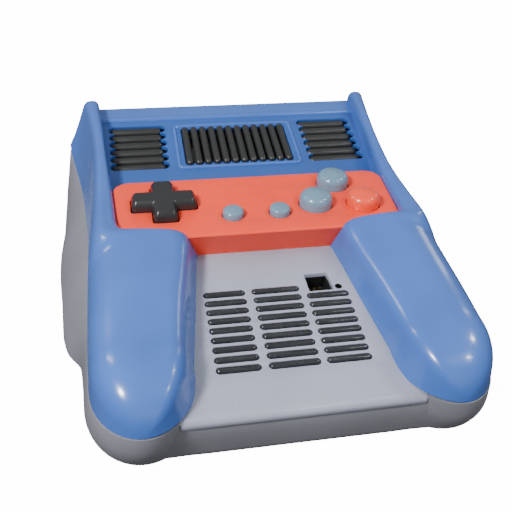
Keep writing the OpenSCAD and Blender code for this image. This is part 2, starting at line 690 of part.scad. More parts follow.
module dpad() color("dimgray") {
    on_dpad() difference() {
        union() {
            translate([0, 0, -3.6]) linear_extrude(dpad_height + 3.6) cross_2d(dpad_len, dpad_arm);
            translate([0, 0, -4.7]) cylinder(r = 15, h = 1.2);
            translate([0, 0, dpad_pivot_z]) cylinder(r = 4, h = 1);
            for (turn = [0 : 90 : 270]) rotate([0, 0, turn])
                translate([dpad_contact_r, 0, -5.9]) cylinder(r = 1.3, h = 1.3);
        }
        translate([0, 0, dpad_pivot_z]) sphere(r = dpad_ball_r + 0.1);
    }
}
module dpad_pivot() color("silver") {
    on_dpad() translate([0, 0, dpad_pivot_z]) sphere(r = dpad_ball_r);
}
module dpad_seat() color("dimgray") {
    on_dpad() difference() {
        translate([0, 0, control_board_top]) cylinder(r = 3.8, h = 1.3);
        translate([0, 0, dpad_pivot_z]) sphere(r = dpad_ball_r + 0.1);
    }
}
// A button's half profile: domed cap, retaining flange and stem
module button(d, height, crown) {
    r = d / 2;
    dome = [for (k = [0 : 6]) let (a = 15 * k) [r - crown + crown * cos(a), height - crown + crown * sin(a)]];
    rotate_extrude() polygon(concat(
        [[0, stem_low], [2, stem_low], [2, flange_top - flange_t], [r + 1.4, flange_top - flange_t],
         [r + 1.4, flange_top], [r, flange_top]],
        dome,
        [[0, height + 0.15]]
    ));
}
module action_button(k) {
    on_panel() translate([action_pos[k].x, action_pos[k].y, 0]) button(action_d, action_height, 2.4);
}
module rear_action_button() color("lightsteelblue") action_button(0);
module front_action_button() color("lightsteelblue") action_button(1);
module right_action_button() color("tomato") action_button(2);
module menu_button(k) {
    on_panel() translate([menu_pos[k].x, menu_pos[k].y, 0]) button(menu_d, menu_height, 1.1);
}
module left_menu_button() color("lightsteelblue") menu_button(0);
module right_menu_button() color("lightsteelblue") menu_button(1);
// A rubber sheet on the board with one dome under each contact
module membrane(outline, domes) {
    on_panel() {
        translate([0, 0, control_board_top]) linear_extrude(0.6) polygon(outline);
        for (p = domes) translate([p.x, p.y, control_board_top + 0.5]) cylinder(r = 1.9, h = 0.6);
    }
}
module dpad_membrane() color("white") {
    ring = [for (turn = [0 : 90 : 270])
        dpad_pos + dpad_contact_r * [cos(turn), sin(turn)]];
    difference() {
        membrane(rounded([for (p = [[-1, -1], [1, -1], [1, 1], [-1, 1]])
            [dpad_pos.x + 0.7 + p.x * 10.5, dpad_pos.y + p.y * 11.5, 3]]), ring);
        on_dpad() translate([0, 0, -9]) cylinder(r = 4, h = 5);
    }
}
module menu_membrane() color("white") {
    membrane(rounded([[-14.5, 9, 3], [11.5, 9, 3], [11.5, 16, 3], [-14.5, 16, 3]]), menu_pos);
}
module action_membrane() color("white") {
    membrane(rounded([[19, 12, 3], [45.9, 11, 3], [45.9, 18, 3], [37.5, 35, 3], [30, 35, 3]]), action_pos);
}
module control_board() color("darkgreen") {
    on_panel() translate([0, 0, control_board_top - board_t]) difference() {
        block([-47, 4.4, 0], [47, 38.4, board_t]);
        for (p = board_boss_pos) translate([p.x, p.y, -1]) cylinder(r = 1.1, h = 4);
    }
}
module control_board_screws() color("silver") {
    on_panel() for (p = board_boss_pos)
        translate([p.x, p.y, control_board_top - board_t]) mirror([0, 0, 1]) screw(1.7, 5.4, 3.6, 1.1);
}
module panel_screws() color("silver") {
    on_panel() both_sides() for (p = panel_tab_pos)
        translate([p.x, p.y, -7]) mirror([0, 0, 1]) screw(1.7, 5.4, 3.4, 1.1);
}

// ---- Main board and what it carries ----
module main_board() color("darkgreen") {
    difference() {
        block([-58, -15.5, board_low], [58, 87, board_top]);
        both_sides() for (p = board_hole_pos) translate([p.x, p.y, 5]) cylinder(r = 1.2, h = 6);
    }
}
chip_pos = [0, 48];
module processor() color("black") {
    translate([chip_pos.x, chip_pos.y, board_top]) block([-14, -14, 0], [14, 14, 2.6]);
}
module heat_sink() color("silver") {
    translate([chip_pos.x, chip_pos.y, board_top + 2.6]) {
        block([-20, -18, 0], [20, 18, 2.4]);
        for (k = [0 : 8]) translate([-20 + k * 4.85, 0, 0]) block([0, -18, 2], [1.2, 18, 13]);
    }
}
module memory_chips() color("black") {
    for (k = [0 : 3]) translate([-46 + 16 * k, 12, board_top]) block([0, 0, 0], [11, 17, 1.4]);
}
module video_chip() color("black") {
    translate([34, 52, board_top]) block([-8, -8, 0], [8, 8, 1.8]);
}
module capacitors() color("navy") {
    for (k = [0 : 4]) translate([46, 8 + 9.4 * k, board_top]) cylinder(r = 3.6, h = 11);
}
module clock_crystal() color("silver") {
    translate([-30, 44, board_top]) block([-5.5, -2.2, 0], [5.5, 2.2, 3.4]);
}
module power_jack() color("black") {
    translate([jack_pos.x, port_y, jack_pos.y]) rotate([90, 0, 0]) difference() {
        block([-4.5, -4.4, 0], [4.5, 4.4, 11]);
        translate([0, 0, -1]) cylinder(r = 3.2, h = 10);
    }
}
module power_pin() color("silver") {
    translate([jack_pos.x, port_y - 0.7, jack_pos.y]) rotate([90, 0, 0]) cylinder(r = 0.8, h = 8.3);
}
module av_jack() color("black") {
    translate([av_pos.x, port_y, av_pos.y]) rotate([90, 0, 0]) difference() {
        block([-4.5, -4.4, 0], [4.5, 4.4, 12]);
        translate([0, 0, -1]) cylinder(r = 2.5, h = 11);
    }
}
module power_switch_body() color("black") {
    translate([switch_pos.x, port_y, switch_pos.y]) difference() {
        block([-8.5, -6.5, -3.8], [8.5, 0, 3.8]);
        block([-5, -4.5, -1.9], [5, 1, 1.9]);
    }
}
module power_switch_knob() color("dimgray") {
    translate([switch_pos.x - switch_travel / 2, port_y, switch_pos.y])
        block([-2.8, -4.3, -1.6], [2.8, 3.2, 1.6]);
}
ribbon_x = [-8, 12];
ribbon_y = 1;
module ribbon_sockets() color("white") {
    block([ribbon_x[0] - 2, ribbon_y - 2.5, board_top], [ribbon_x[1] + 2, ribbon_y + 2.5, board_top + 3.6]);
    on_panel() translate([0, ribbon_y - panel_y, control_board_top - board_t])
        block([ribbon_x[0] - 2, -2.5, -3.6], [ribbon_x[1] + 2, 2.5, 0]);
}
module ribbon_cable() color("gray") {
    high = panel_z + (ribbon_y - panel_y) * sin(panel_tilt) + control_board_top - board_t - 3.9;
    block([ribbon_x[0], ribbon_y - 0.3, board_top + 3.6], [ribbon_x[1], ribbon_y + 0.3, high]);
}
module main_board_screws() color("silver") {
    both_sides() for (p = board_hole_pos) translate([p.x, p.y, board_top]) screw(2, 5.6, 4, 1.4);
}
module case_screws() color("silver") {
    both_sides() {
        for (p = [case_post_front, case_post_rear])
            translate([p.x, p.y, 13]) mirror([0, 0, 1]) screw(2.4, 15, 5.4, 2);
        for (p = deck_post_pos)
            translate([p.x, p.y, 4]) mirror([0, 0, 1]) screw(2.4, 11, 5.4, 2);
    }
}
module rubber_feet() color("dimgray") {
    both_sides() for (p = foot_pos) translate([p.x, p.y, 0]) cylinder(r = 6, h = floor_z);
}
module deck_louvres_left() deck_louvres(0);
module deck_louvres_centre() deck_louvres(1);
module deck_louvres_right() deck_louvres(2);

base_tub();
top_shell();
front_deck();
control_panel();
dpad();
dpad_pivot();
dpad_seat();
left_menu_button();
right_menu_button();
rear_action_button();
front_action_button();
right_action_button();
vent_grille_left();
vent_grille_centre();
vent_grille_right();
deck_louvres_left();
deck_louvres_centre();
deck_louvres_right();
link_socket();
link_contacts();
link_board();
link_board_screws();
reset_switch();
reset_plunger();
speaker_basket();
speaker_cone();
speaker_magnet();
speaker_screws();
control_board();
dpad_membrane();
menu_membrane();
action_membrane();
control_board_screws();
panel_screws();
main_board();
processor();
heat_sink();
memory_chips();
video_chip();
capacitors();
clock_crystal();
power_jack();
power_pin();
av_jack();
power_switch_body();
power_switch_knob();
ribbon_sockets();
ribbon_cable();
main_board_screws();
case_screws();
rubber_feet();
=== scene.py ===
"""Game console with built-in controller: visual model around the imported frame."""

import json
import math

import bmesh
import bpy
from mathutils import Matrix, Vector


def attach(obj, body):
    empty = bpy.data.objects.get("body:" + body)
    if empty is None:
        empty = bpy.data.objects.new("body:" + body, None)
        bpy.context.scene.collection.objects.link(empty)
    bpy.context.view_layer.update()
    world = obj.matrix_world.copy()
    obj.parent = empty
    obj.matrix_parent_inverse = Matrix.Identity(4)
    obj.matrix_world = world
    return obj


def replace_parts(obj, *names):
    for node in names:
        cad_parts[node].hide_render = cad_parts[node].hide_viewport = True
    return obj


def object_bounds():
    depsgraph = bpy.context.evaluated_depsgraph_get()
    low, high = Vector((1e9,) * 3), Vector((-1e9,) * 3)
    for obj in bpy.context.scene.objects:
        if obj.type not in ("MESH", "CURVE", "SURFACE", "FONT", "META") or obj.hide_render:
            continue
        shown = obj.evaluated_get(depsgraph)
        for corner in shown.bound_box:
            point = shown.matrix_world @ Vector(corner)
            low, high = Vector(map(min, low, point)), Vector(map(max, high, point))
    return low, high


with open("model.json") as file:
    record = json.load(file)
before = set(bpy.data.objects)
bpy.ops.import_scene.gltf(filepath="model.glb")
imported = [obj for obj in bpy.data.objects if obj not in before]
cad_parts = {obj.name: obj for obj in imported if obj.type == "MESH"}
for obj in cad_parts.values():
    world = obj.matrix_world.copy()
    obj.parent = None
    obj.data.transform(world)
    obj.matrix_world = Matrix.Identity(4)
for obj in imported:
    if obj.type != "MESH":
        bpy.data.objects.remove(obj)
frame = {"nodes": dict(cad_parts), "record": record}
CAD_BOX = [list(corner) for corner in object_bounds()]
MM = 0.001

# ---------------------------------------------------------------- materials


def srgb(r, g, b):
    """A linear colour from 0-255 display values."""
    return [((v / 255 + 0.055) / 1.055) ** 2.4 if v > 10.3 else v / 255 / 12.92 for v in (r, g, b)]


class Nodes:
    """A new node material with its Principled shader at hand."""

    def __init__(self, name):
        self.material = bpy.data.materials.new(name)
        self.material.use_nodes = True
        self.tree = self.material.node_tree
        self.shader = self.tree.nodes["Principled BSDF"]
        self.place = self.tree.nodes.new("ShaderNodeTexCoord").outputs["Object"]

    def add(self, kind, inputs=(), **settings):
        node = self.tree.nodes.new(kind)
        for key, value in settings.items():
            setattr(node, key, value)
        for key, value in dict(inputs).items():
            if isinstance(value, bpy.types.NodeSocket):
                self.tree.links.new(value, node.inputs[key])
            else:
                node.inputs[key].default_value = value
        return node

    def noise(self, scale, detail=3.0, rough=0.5, stretch=(1, 1, 1)):
        mapped = self.add("ShaderNodeMapping", {"Vector": self.place, "Scale": stretch})
        return self.add("ShaderNodeTexNoise", {
            "Vector": mapped.outputs[0], "Scale": scale, "Detail": detail, "Roughness": rough,
        }).outputs["Fac"]

    def spread(self, value, low, high, from_low=0.3, from_high=0.7):
        return self.add("ShaderNodeMapRange", {
            "Value": value, "From Min": from_low, "From Max": from_high, "To Min": low, "To Max": high,
        }).outputs["Result"]

    def blend(self, amount, a, b):
        node = self.add("ShaderNodeMix", data_type="RGBA")
        for socket, value in ((node.inputs[0], amount), (node.inputs[6], a), (node.inputs[7], b)):
            if isinstance(value, bpy.types.NodeSocket):
                self.tree.links.new(value, socket)
            else:
                socket.default_value = value
        return node.outputs[2]

    def set(self, name, value):
        if isinstance(value, bpy.types.NodeSocket):
            self.tree.links.new(value, self.shader.inputs[name])
        else:
            self.shader.inputs[name].default_value = value

    def bump(self, height, strength, distance, below=None):
        inputs = {"Height": height, "Strength": strength, "Distance": distance}
        if below is not None:
            inputs["Normal"] = below
        return self.add("ShaderNodeBump", inputs).outputs["Normal"]


COLOUR_DRIFT = 0.06


def moulded(name, colour, rough, grain, coat=0.0):
    """Injection-moulded plastic: slight colour drift, fine grain, flow waviness, worn sheen."""
    n = Nodes(name)
    base = [*colour, 1]
    light = [min(1, c * (1 + COLOUR_DRIFT)) for c in colour] + [1]
    dark = [c * (1 - COLOUR_DRIFT) for c in colour] + [1]
    drift = n.spread(n.noise(38, 2), 0, 1)
    mottled = n.blend(drift, dark, light)
    specks = n.spread(n.noise(900, 2, 0.6), 0, 0.25, 0.62, 0.8)
    n.set("Base Color", n.blend(specks, mottled, [c * 0.8 for c in colour] + [1]))
    handled = n.noise(70, 4, 0.6)
    n.set("Roughness", n.spread(handled, rough * 0.88, rough * 1.15))
    n.set("Coat Weight", coat)
    n.set("Coat Roughness", 0.08)
    flow = n.bump(n.noise(24, 1), 0.12, 0.0006)
    n.set("Normal", n.bump(n.noise(2600, 2, 0.7), grain, 0.00004, flow))
    n.material.diffuse_color = base
    return n.material


def ridged(name, colour):
    """Dark plastic with lighter streaks drawn out along its length, which are painted glints, and a slightly
    pitted top that breaks up its glints.
    """
    n = Nodes(name)
    # Painted glints: lighter streaks of a paler copy of the bar colour, drawn out along the bars
    glint_streaks = n.spread(n.noise(500, 3, 0.6, (0.15, 1, 1)), 0, 1, 0.45, 0.75)
    glint_colour = [min(1, c * 1.6 + 0.006) for c in colour] + [1]
    n.set("Base Color", n.blend(glint_streaks, [*colour, 1], glint_colour))
    n.set("Roughness", n.spread(n.noise(900, 2, 0.6, (0.3, 1, 1)), 0.12, 0.3))
    n.set("Normal", n.bump(n.noise(700, 3, 0.65, (0.3, 1, 1)), 0.35, 0.0003))
    return n.material


def metal(name, colour, rough, stretch=(1, 1, 1)):
    """Bare metal with fine marks; stretch draws the marks out along an axis."""
    n = Nodes(name)
    dull = [c * 0.8 for c in colour] + [1]
    n.set("Base Color", n.blend(n.spread(n.noise(300, 3), 0, 1), dull, [*colour, 1]))
    n.set("Metallic", 1.0)
    n.set("Roughness", n.spread(n.noise(500, 4, 0.6, stretch), rough * 0.7, rough * 1.4))
    n.set("Normal", n.bump(n.noise(1500, 3, 0.6, stretch), 0.2, 0.00003))
    return n.material


def circuit(name):
    """Green board with paler, slightly raised tracks."""
    n = Nodes(name)
    board = [0.012, 0.10, 0.035, 1]
    track = [0.03, 0.19, 0.06, 1]
    lines = n.add("ShaderNodeTexBrick", {
        "Vector": n.place, "Color1": [0, 0, 0, 1], "Color2": [0.2, 0.2, 0.2, 1], "Mortar": [1, 1, 1, 1],
        "Scale": 160.0, "Mortar Size": 0.03,
    }).outputs["Color"]
    n.set("Base Color", n.blend(lines, board, track))
    n.set("Roughness", n.spread(n.noise(200, 3), 0.28, 0.42))
    n.set("Normal", n.bump(lines, 0.3, 0.00005))
    return n.material


BLUE = srgb(66, 105, 182)
MATERIALS = {
    "blue_shell": moulded("blue_shell", BLUE, 0.24, 0.10, coat=0.25),
    "blue_vent": moulded("blue_vent", srgb(48, 88, 160), 0.38, 0.14),
    # The casing's grey is darker and more neutral than the deck's grey of the same plastic, to stand for the
    # shade on its undercut front: painted shade
    "grey_casing": moulded("grey_casing", srgb(120, 121, 129), 0.36, 0.3),
    "grey_deck": moulded("grey_deck", srgb(153, 157, 173), 0.3, 0.25),
    "red_panel": moulded("red_panel", srgb(244, 70, 44), 0.36, 0.25),
    "black_pad": moulded("black_pad", srgb(38, 39, 40), 0.3, 0.3),
    "black_plastic": moulded("black_plastic", srgb(20, 20, 22), 0.5, 0.3),
    "pale_button": moulded("pale_button", srgb(104, 135, 156), 0.22, 0.1, coat=0.2),
    "orange_button": moulded("orange_button", srgb(246, 76, 46), 0.25, 0.1, coat=0.2),
    "dark_bars": moulded("dark_bars", srgb(40, 41, 41), 0.36, 0.4),
    "slate_bars": ridged("slate_bars", srgb(35, 38, 41)),
    "steel": metal("steel", (0.55, 0.55, 0.56), 0.3),
    "gold_contacts": metal("gold_contacts", (0.85, 0.6, 0.22), 0.25),
    "circuit_board": circuit("circuit_board"),
    "white_rubber": moulded("white_rubber", (0.7, 0.7, 0.67), 0.7, 0.5),
    "speaker_frame": metal("speaker_frame", (0.25, 0.25, 0.26), 0.45),
    "speaker_paper": moulded("speaker_paper", (0.03, 0.03, 0.03), 0.9, 1.0),
    "chip_black": moulded("chip_black", (0.02, 0.02, 0.02), 0.6, 0.6),
    "aluminium": metal("aluminium", (0.05, 0.05, 0.055), 0.5, (1, 12, 1)),
    "capacitor_sleeve": moulded("capacitor_sleeve", (0.03, 0.05, 0.2), 0.3, 0.2),
    "white_plastic": moulded("white_plastic", (0.7, 0.69, 0.65), 0.5, 0.4),
    "ribbon_grey": moulded("ribbon_grey", (0.4, 0.41, 0.43), 0.5, 0.4),
    "foot_rubber": moulded("foot_rubber", (0.03, 0.03, 0.03), 0.8, 0.8),
}
SLOTS = {row["node"]: row["material_slot"] for row in frame["record"]["subparts"]}


def dress(obj, slot_name):
    obj.data.materials.clear()
    obj.data.materials.append(MATERIALS[slot_name])


for node, obj in frame["nodes"].items():
    dress(obj, SLOTS[node])

# ---------------------------------------------------------------- curves shared with the part's design

WALL = 2.2
FLOOR_Z = 0.8
SEAM_GAP = 0.3
# Outer seam, outer shoulder, inner top edge, foot of the inner wall, roundness weight; rear to front
RAIL = [
    ((76.9, 91.5, 36.3), (68.6, 91.5, 52.6), (62.3, 91.5, 52.6), (61.5, 91.5, 47.6), 0),
    ((76.7, 90.2, 35.3), (68.2, 90.2, 56.8), (61.8, 90.2, 56.8), (61, 90.2, 47.8), 0),
    ((76.2, 87, 33), (67.4, 87, 60), (61.3, 87, 60), (60.7, 87, 48.6), 0),
    ((74.6, 79.5, 29.8), (66.2, 80, 60), (60.9, 80, 59.6), (60.4, 79.5, 48.2), 0),
    ((71.6, 62, 26), (64.2, 62, 57.6), (59.6, 62, 57.2), (59.2, 62, 44.6), 0.05),
    ((69.9, 44.3, 24), (63.2, 44.3, 54.2), (58.5, 44.3, 53.8), (58.2, 44.3, 40.6), 0.15),
    ((68.9, 26.5, 22.8), (63.6, 26.5, 50.6), (57.3, 26.5, 49.6), (57.1, 26.5, 36.8), 0.35),
    ((68.6, 8, 21.8), (64.6, 8, 49.2), (56.2, 8, 47.6), (56.2, 8, 37), 0.55),
    ((68.5, -6, 21.4), (65.2, -6, 49.2), (55.4, -6, 47.4), (55.3, -6, 37.5), 0.7),
    ((68.5, -15, 21.2), (65.4, -14.5, 49.4), (52.5, -12, 47.7), (52.6, -11.4, 38), 0.8),
    ((68.5, -21, 21), (65.6, -20, 49.2), (43, -13.6, 48.3), (42, -12.4, 38), 0.9),
    ((68.5, -26, 21), (65.6, -24.5, 48.6), (32.8, -14.2, 47.5), (27.6, -12.9, 35), 1),
    ((68.5, -30, 20.9), (65.6, -29, 47.9), (30.8, -18.5, 46.5), (26.2, -15, 31), 1),
    ((68.4, -37, 20.8), (65.6, -36, 46.7), (31.8, -28, 44.3), (27.1, -24, 28.4), 1),
    ((68.2, -50, 20.5), (65.6, -50, 44.4), (34.9, -47, 41.2), (29.5, -44, 25.2), 1),
    ((67.6, -66, 20.2), (65.4, -66, 41.6), (36.8, -66, 37.8), (32.7, -66, 21.5), 1),
]
GRIP_ROUND = (0.62, 0.55, 0.16, 0.3)
CHEEK_ROUND = (0.12, 0.45, 0.4, 0.3)
NOSE_X = 50.5
NOSE_LEN = 25.3
NOSE_RISE = 1.3
# Ground corner, flank, lip at the parting line; right half from rear to front
CASING = [
    ((0, 90.9, 0.8), (0, 91.5, 18), (0, 91.5, 35)),
    ((40, 90.9, 0.8), (40, 91.5, 18), (38, 91.5, 35)),
    ((64, 90.9, 0.8), (64, 91.5, 18), (62, 91.5, 35.5)),
    ((77, 89.8, 0.8), (75.5, 90.8, 18), (72.5, 91.3, 36)),
    ((81.5, 85.5, 0.8), (79.8, 87.3, 17), (76.9, 89.8, 35)),
    ((82.7, 76, 0.8), (79.6, 77.5, 16), (74.8, 79.5, 29.8)),
    ((83, 60, 0.8), (78.8, 61, 14), (71.9, 62, 26)),
    ((84.2, 42, 0.8), (78.9, 43, 13), (70.2, 44.3, 24)),
    ((83.9, 24, 0.8), (78.2, 25, 12), (69.2, 26.5, 22.8)),
    ((82.3, 5, 0.8), (77.2, 6, 11), (68.9, 8, 21.8)),
    ((81.4, -9, 0.8), (76.4, -9, 11), (68.8, -9, 21.3)),
    ((80.5, -19, 0.8), (75.5, -20, 11), (68.8, -21, 21)),
    ((78.2, -27.5, 0.8), (73.8, -29, 11), (68.7, -30, 20.9)),
    ((73.6, -34.5, 0.8), (71.6, -37, 11), (68.6, -38, 20.7)),
    ((72.4, -40, 0.8), (70.9, -43, 11), (68.4, -46, 20.5)),
    ((71.6, -48, 0.8), (70.4, -54, 11), (68, -60, 20.3)),
]
# Centre x, half-width, centre y, half-depth, height, sweep
LOBES = [(51.2, 20, -54, 30, 0.8, 106), (51.5, 18.6, -62, 28, 11, 121), (50.6, 17.3, -66, 25.5, 20.2, 129)]
CASING_FRONT = [
    ((38.2, -82.8, 0.8), (37.6, -85.2, 11), (37.2, -85.8, 18)),
    ((31, -83, 0.8), (31, -85.2, 11), (31, -85.7, 17.8)),
    ((0, -83, 0.8), (0, -85.2, 11), (0, -85.7, 17.8)),
]


def through(p0, p1, p2, p3, t):
    """Catmull-Rom curve between p1 and p2."""
    return (2 * p1 + (p2 - p0) * t + (2 * p0 - 5 * p1 + 4 * p2 - p3) * t * t
            + (3 * p1 - p0 - 3 * p2 + p3) * t ** 3) / 2


def as_values(row):
    """A station's points as vectors, its weight as it is."""
    return [Vector(v) if isinstance(v, (tuple, list)) else v for v in row]


def station(rows, s):
    """The station at a whole or part number s along the rows."""
    i = min(int(s), len(rows) - 2)
    t = s - i
    out = []
    for a, b, before, after in zip(
        rows[i], rows[i + 1],
        rows[i - 1] if i > 0 else [2 * a - b for a, b in zip(rows[i], rows[i + 1])],
        rows[i + 2] if i + 2 < len(rows) else [2 * b - a for a, b in zip(rows[i], rows[i + 1])],
    ):
        out.append(through(before, a, b, after, t))
    return out


def corner(start, p, end, fa, fb, n):
    """Corner p rounded by a parabola."""
    a, b = p.lerp(start, fa), p.lerp(end, fb)
    return [a * (1 - t) ** 2 + p * 2 * t * (1 - t) + b * t * t for t in (k / n for k in range(n + 1))]


def flat(v):
    return Vector((v.x, v.y, 0))


def inset_station(s):
    """The inside of the rail's wall at a station."""
    out = flat(s[1] - s[2]).normalized() * WALL
    drop = Vector((0, 0, WALL))
    return [s[0] - out, s[1] - out - drop, s[2] + out - drop, s[3] + out, s[4]]


def nose_station(s, angle, reach):
    """The last station carried round the grip's nose."""
    part, wide = math.sin(angle), math.cos(angle)
    high = (1 - part ** 2.4) ** (1 / 2.4)
    base = s[0].z
    out = []
    for k in range(4):
        dip = 0.1 * NOSE_LEN * part if k in (1, 2) else 0
        rise = (s[k].z - base - dip) * (1 if k == 0 else high)
        x = NOSE_X + (s[k].x - NOSE_X) * wide
        out.append(Vector((x, s[k].y - reach * part, base + NOSE_RISE * part + rise)))
    return [*out, s[4]]


def spread_line(a, b, n):
    return [a.lerp(b, k / n) for k in range(n)]


def rail_path(s, fine):
    """Points across the rail at a station, from the seam over the shoulder and down the inner wall."""
    f = [a + (b - a) * s[4] for a, b in zip(CHEEK_ROUND, GRIP_ROUND)]
    shoulder = corner(s[0], s[1], s[2], f[0], f[1], 5 * fine)
    edge = corner(s[1], s[2], s[3], f[2], f[3], 3 * fine)
    return [*spread_line(s[0], shoulder[0], 2 * fine), *shoulder,
            *spread_line(shoulder[-1], edge[0], fine)[1:], *edge,
            *spread_line(edge[-1], s[3], 2 * fine)[1:], s[3]]


def rail_rings(inner, fine):
    """The outside or the inside of a rail as rings from the rear to the nose."""
    rows = [as_values(r) for r in RAIL]
    last = len(rows) - 1
    rings = []
    for k in range(last * fine + 1):
        s = station(rows, k / fine)
        rings.append(rail_path(inset_station(s) if inner else s, fine))
    tail = inset_station(rows[last]) if inner else rows[last]
    reach = NOSE_LEN - WALL if inner else NOSE_LEN
    steps = 6 * fine
    for k in range(1, steps + 1):
        angle = math.pi / 2 * k / (steps + 0.35)
        rings.append(rail_path(nose_station(tail, angle, reach), fine))
    return rings


# ---------------------------------------------------------------- mesh building


def add_sheet(bm, rows, closed=False):
    """Quads between rows of points; closed joins the last column to the first."""
    grid = [[bm.verts.new(p) for p in row] for row in rows]
    cols = len(grid[0])
    for a, b in zip(grid, grid[1:]):
        for c in range(cols if closed else cols - 1):
            d = (c + 1) % cols
            bm.faces.new((a[c], a[d], b[d], b[c]))
    return grid


def add_pillow(bm, outline, levels, frame_of=None):
    """A closed slab: the outline repeated at (inset, height) levels, with both ends filled."""
    n = len(outline)
    points = [Vector((p[0], p[1])) for p in outline]
    normals = []
    for k in range(n):
        a, b = points[k] - points[k - 1], points[(k + 1) % n] - points[k]
        na, nb = Vector((a.y, -a.x)).normalized(), Vector((b.y, -b.x)).normalized()
        mid = (na + nb).normalized()
        normals.append(mid / max(0.35, mid.dot(na)))
    rows = []
    for inset, height in levels:
        row = []
        for k in range(n):
            p = points[k] - normals[k] * inset
            v = Vector((p.x, p.y, height))
            row.append(frame_of @ v if frame_of else v)
        rows.append(row)
    grid = add_sheet(bm, rows, closed=True)
    bm.faces.new(grid[0])
    bm.faces.new(reversed(grid[-1]))
    return grid


def round_levels(top, radius, low, steps=5):
    """Levels of a slab with its top edge rounded."""
    arc = []
    for k in range(steps + 1):
        a = math.pi / 2 * k / steps
        arc.append((radius * (1 - math.sin(a)), top - radius + radius * math.cos(a)))
    return [*arc, (0, low)]


def arc_points(centre, r, start, end, n):
    return [Vector((centre[0] + r * math.cos(math.radians(start + (end - start) * k / n)),
                    centre[1] + r * math.sin(math.radians(start + (end - start) * k / n))))
            for k in range(n + 1)]


def rounded(corners, n=8):
    """Outline of [x, y, radius] corners, each replaced by its arc."""
    out = []
    count = len(corners)
    for k in range(count):
        p = Vector(corners[k][:2])
        r = corners[k][2]
        u = (Vector(corners[k - 1][:2]) - p).normalized()
        v = (Vector(corners[(k + 1) % count][:2]) - p).normalized()
        if r < 0.01:
            out.append(p)
            continue
        half = math.acos(max(-1, min(1, u.dot(v)))) / 2
        start, end = p + u * r / math.tan(half), p + v * r / math.tan(half)
        centre = p + (u + v).normalized() * r / math.sin(half)
        a0 = math.atan2(*(start - centre).yx)
        a1 = math.atan2(*(end - centre).yx)
        turn = (a1 - a0 + 3 * math.pi) % (2 * math.pi) - math.pi
        out.extend(centre + Vector((math.cos(a0 + turn * j / n), math.sin(a0 + turn * j / n))) * r
                   for j in range(n + 1))
    return out


def mirrored(corners):
    return [*corners, *[(-x, y, r) for x, y, r in reversed(corners)]]


def slot_outline(length, width, centre):
    x = (length - width) / 2
    return [*arc_points((centre[0] + x, centre[1]), width / 2, -90, 90, 10),
            *arc_points((centre[0] - x, centre[1]), width / 2, 90, 270, 10)]


def make(name, bm, slot_name, body="console", smooth=35):
    """Finish a mesh built in millimetres: metres, kept in the CAD box, normals, material, body."""
    bmesh.ops.remove_doubles(bm, verts=bm.verts, dist=0.0005)
    bmesh.ops.scale(bm, vec=(MM, MM, MM), verts=bm.verts)
    for v in bm.verts:
        v.co = [min(max(c, low), high) for c, low, high in zip(v.co, *CAD_BOX)]
    bmesh.ops.recalc_face_normals(bm, faces=bm.faces)
    mesh = bpy.data.meshes.new(name)
    bm.to_mesh(mesh)
    bm.free()
    obj = bpy.data.objects.new(name, mesh)
    bpy.context.scene.collection.objects.link(obj)
    mesh.materials.append(MATERIALS[slot_name])
    mesh.shade_smooth()
    mesh.set_sharp_from_angle(angle=math.radians(smooth))
    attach(obj, body)
    return obj


def cut(obj, bm_tool, bevel=0.0, segments=2):
    """Cut a tool mesh, built in millimetres, out of an object, and apply it."""
    bmesh.ops.scale(bm_tool, vec=(MM, MM, MM), verts=bm_tool.verts)
    bmesh.ops.recalc_face_normals(bm_tool, faces=bm_tool.faces)
    mesh = bpy.data.meshes.new("tool")
    bm_tool.to_mesh(mesh)
    bm_tool.free()
    tool = bpy.data.objects.new("tool", mesh)
    bpy.context.scene.collection.objects.link(tool)
    change = obj.modifiers.new("cut", "BOOLEAN")
    change.object = tool
    change.operation = "DIFFERENCE"
    change.solver = "EXACT"
    if bevel:
        edge = obj.modifiers.new("edge", "BEVEL")
        edge.width = bevel * MM
        edge.segments = segments
        edge.limit_method = "ANGLE"
        edge.angle_limit = math.radians(50)
        edge.use_clamp_overlap = True
    apply_modifiers(obj)
    bpy.data.objects.remove(tool)


def apply_modifiers(obj):
    """Give the object the mesh that its modifiers make of it."""
    graph = bpy.context.evaluated_depsgraph_get()
    graph.update()
    fresh = bpy.data.meshes.new_from_object(obj.evaluated_get(graph), depsgraph=graph)
    old = obj.data
    obj.modifiers.clear()
    obj.data = fresh
    fresh.name = old.name
    bpy.data.meshes.remove(old)
    fresh.shade_smooth()
    fresh.set_sharp_from_angle(angle=math.radians(32))


def tilted(y, z, degrees):
    """A sloping frame: X across the console, Y up the slope, Z out of it."""
    return Matrix.Translation((0, y, z)) @ Matrix.Rotation(math.radians(degrees), 4, "X")


ON_DECK = tilted(-68.1, 24.2, 10)
ON_VENT = tilted(26.5, 40.2, 12.4)
ON_PANEL = tilted(-15.3, 44.2, 3.43)


def prism(bm, outline, low, high, frame_of):
    add_pillow(bm, outline, [(0, high), (0, low)], frame_of)


def box(bm, low, high, frame_of=None):
    prism(bm, [(high[0], low[1]), (high[0], high[1]), (low[0], high[1]), (low[0], low[1])],
          low[2], high[2], frame_of)


def revolve(bm, profile, frame_of, steps=64):
    """A closed solid turned about Z from a profile of (radius, height) that starts and ends on the axis."""
    rows = []
    for r, z in profile[1:-1]:
        rows.append([frame_of @ Vector((r * math.cos(a), r * math.sin(a), z))
                     for a in (2 * math.pi * k / steps for k in range(steps))])
    grid = add_sheet(bm, rows, closed=True)
    for tip, row in ((profile[0], grid[0]), (profile[-1], grid[-1])):
        top = bm.verts.new(frame_of @ Vector((0, 0, tip[1])))
        for k in range(steps):
            bm.faces.new((top, row[k], row[(k + 1) % steps]))


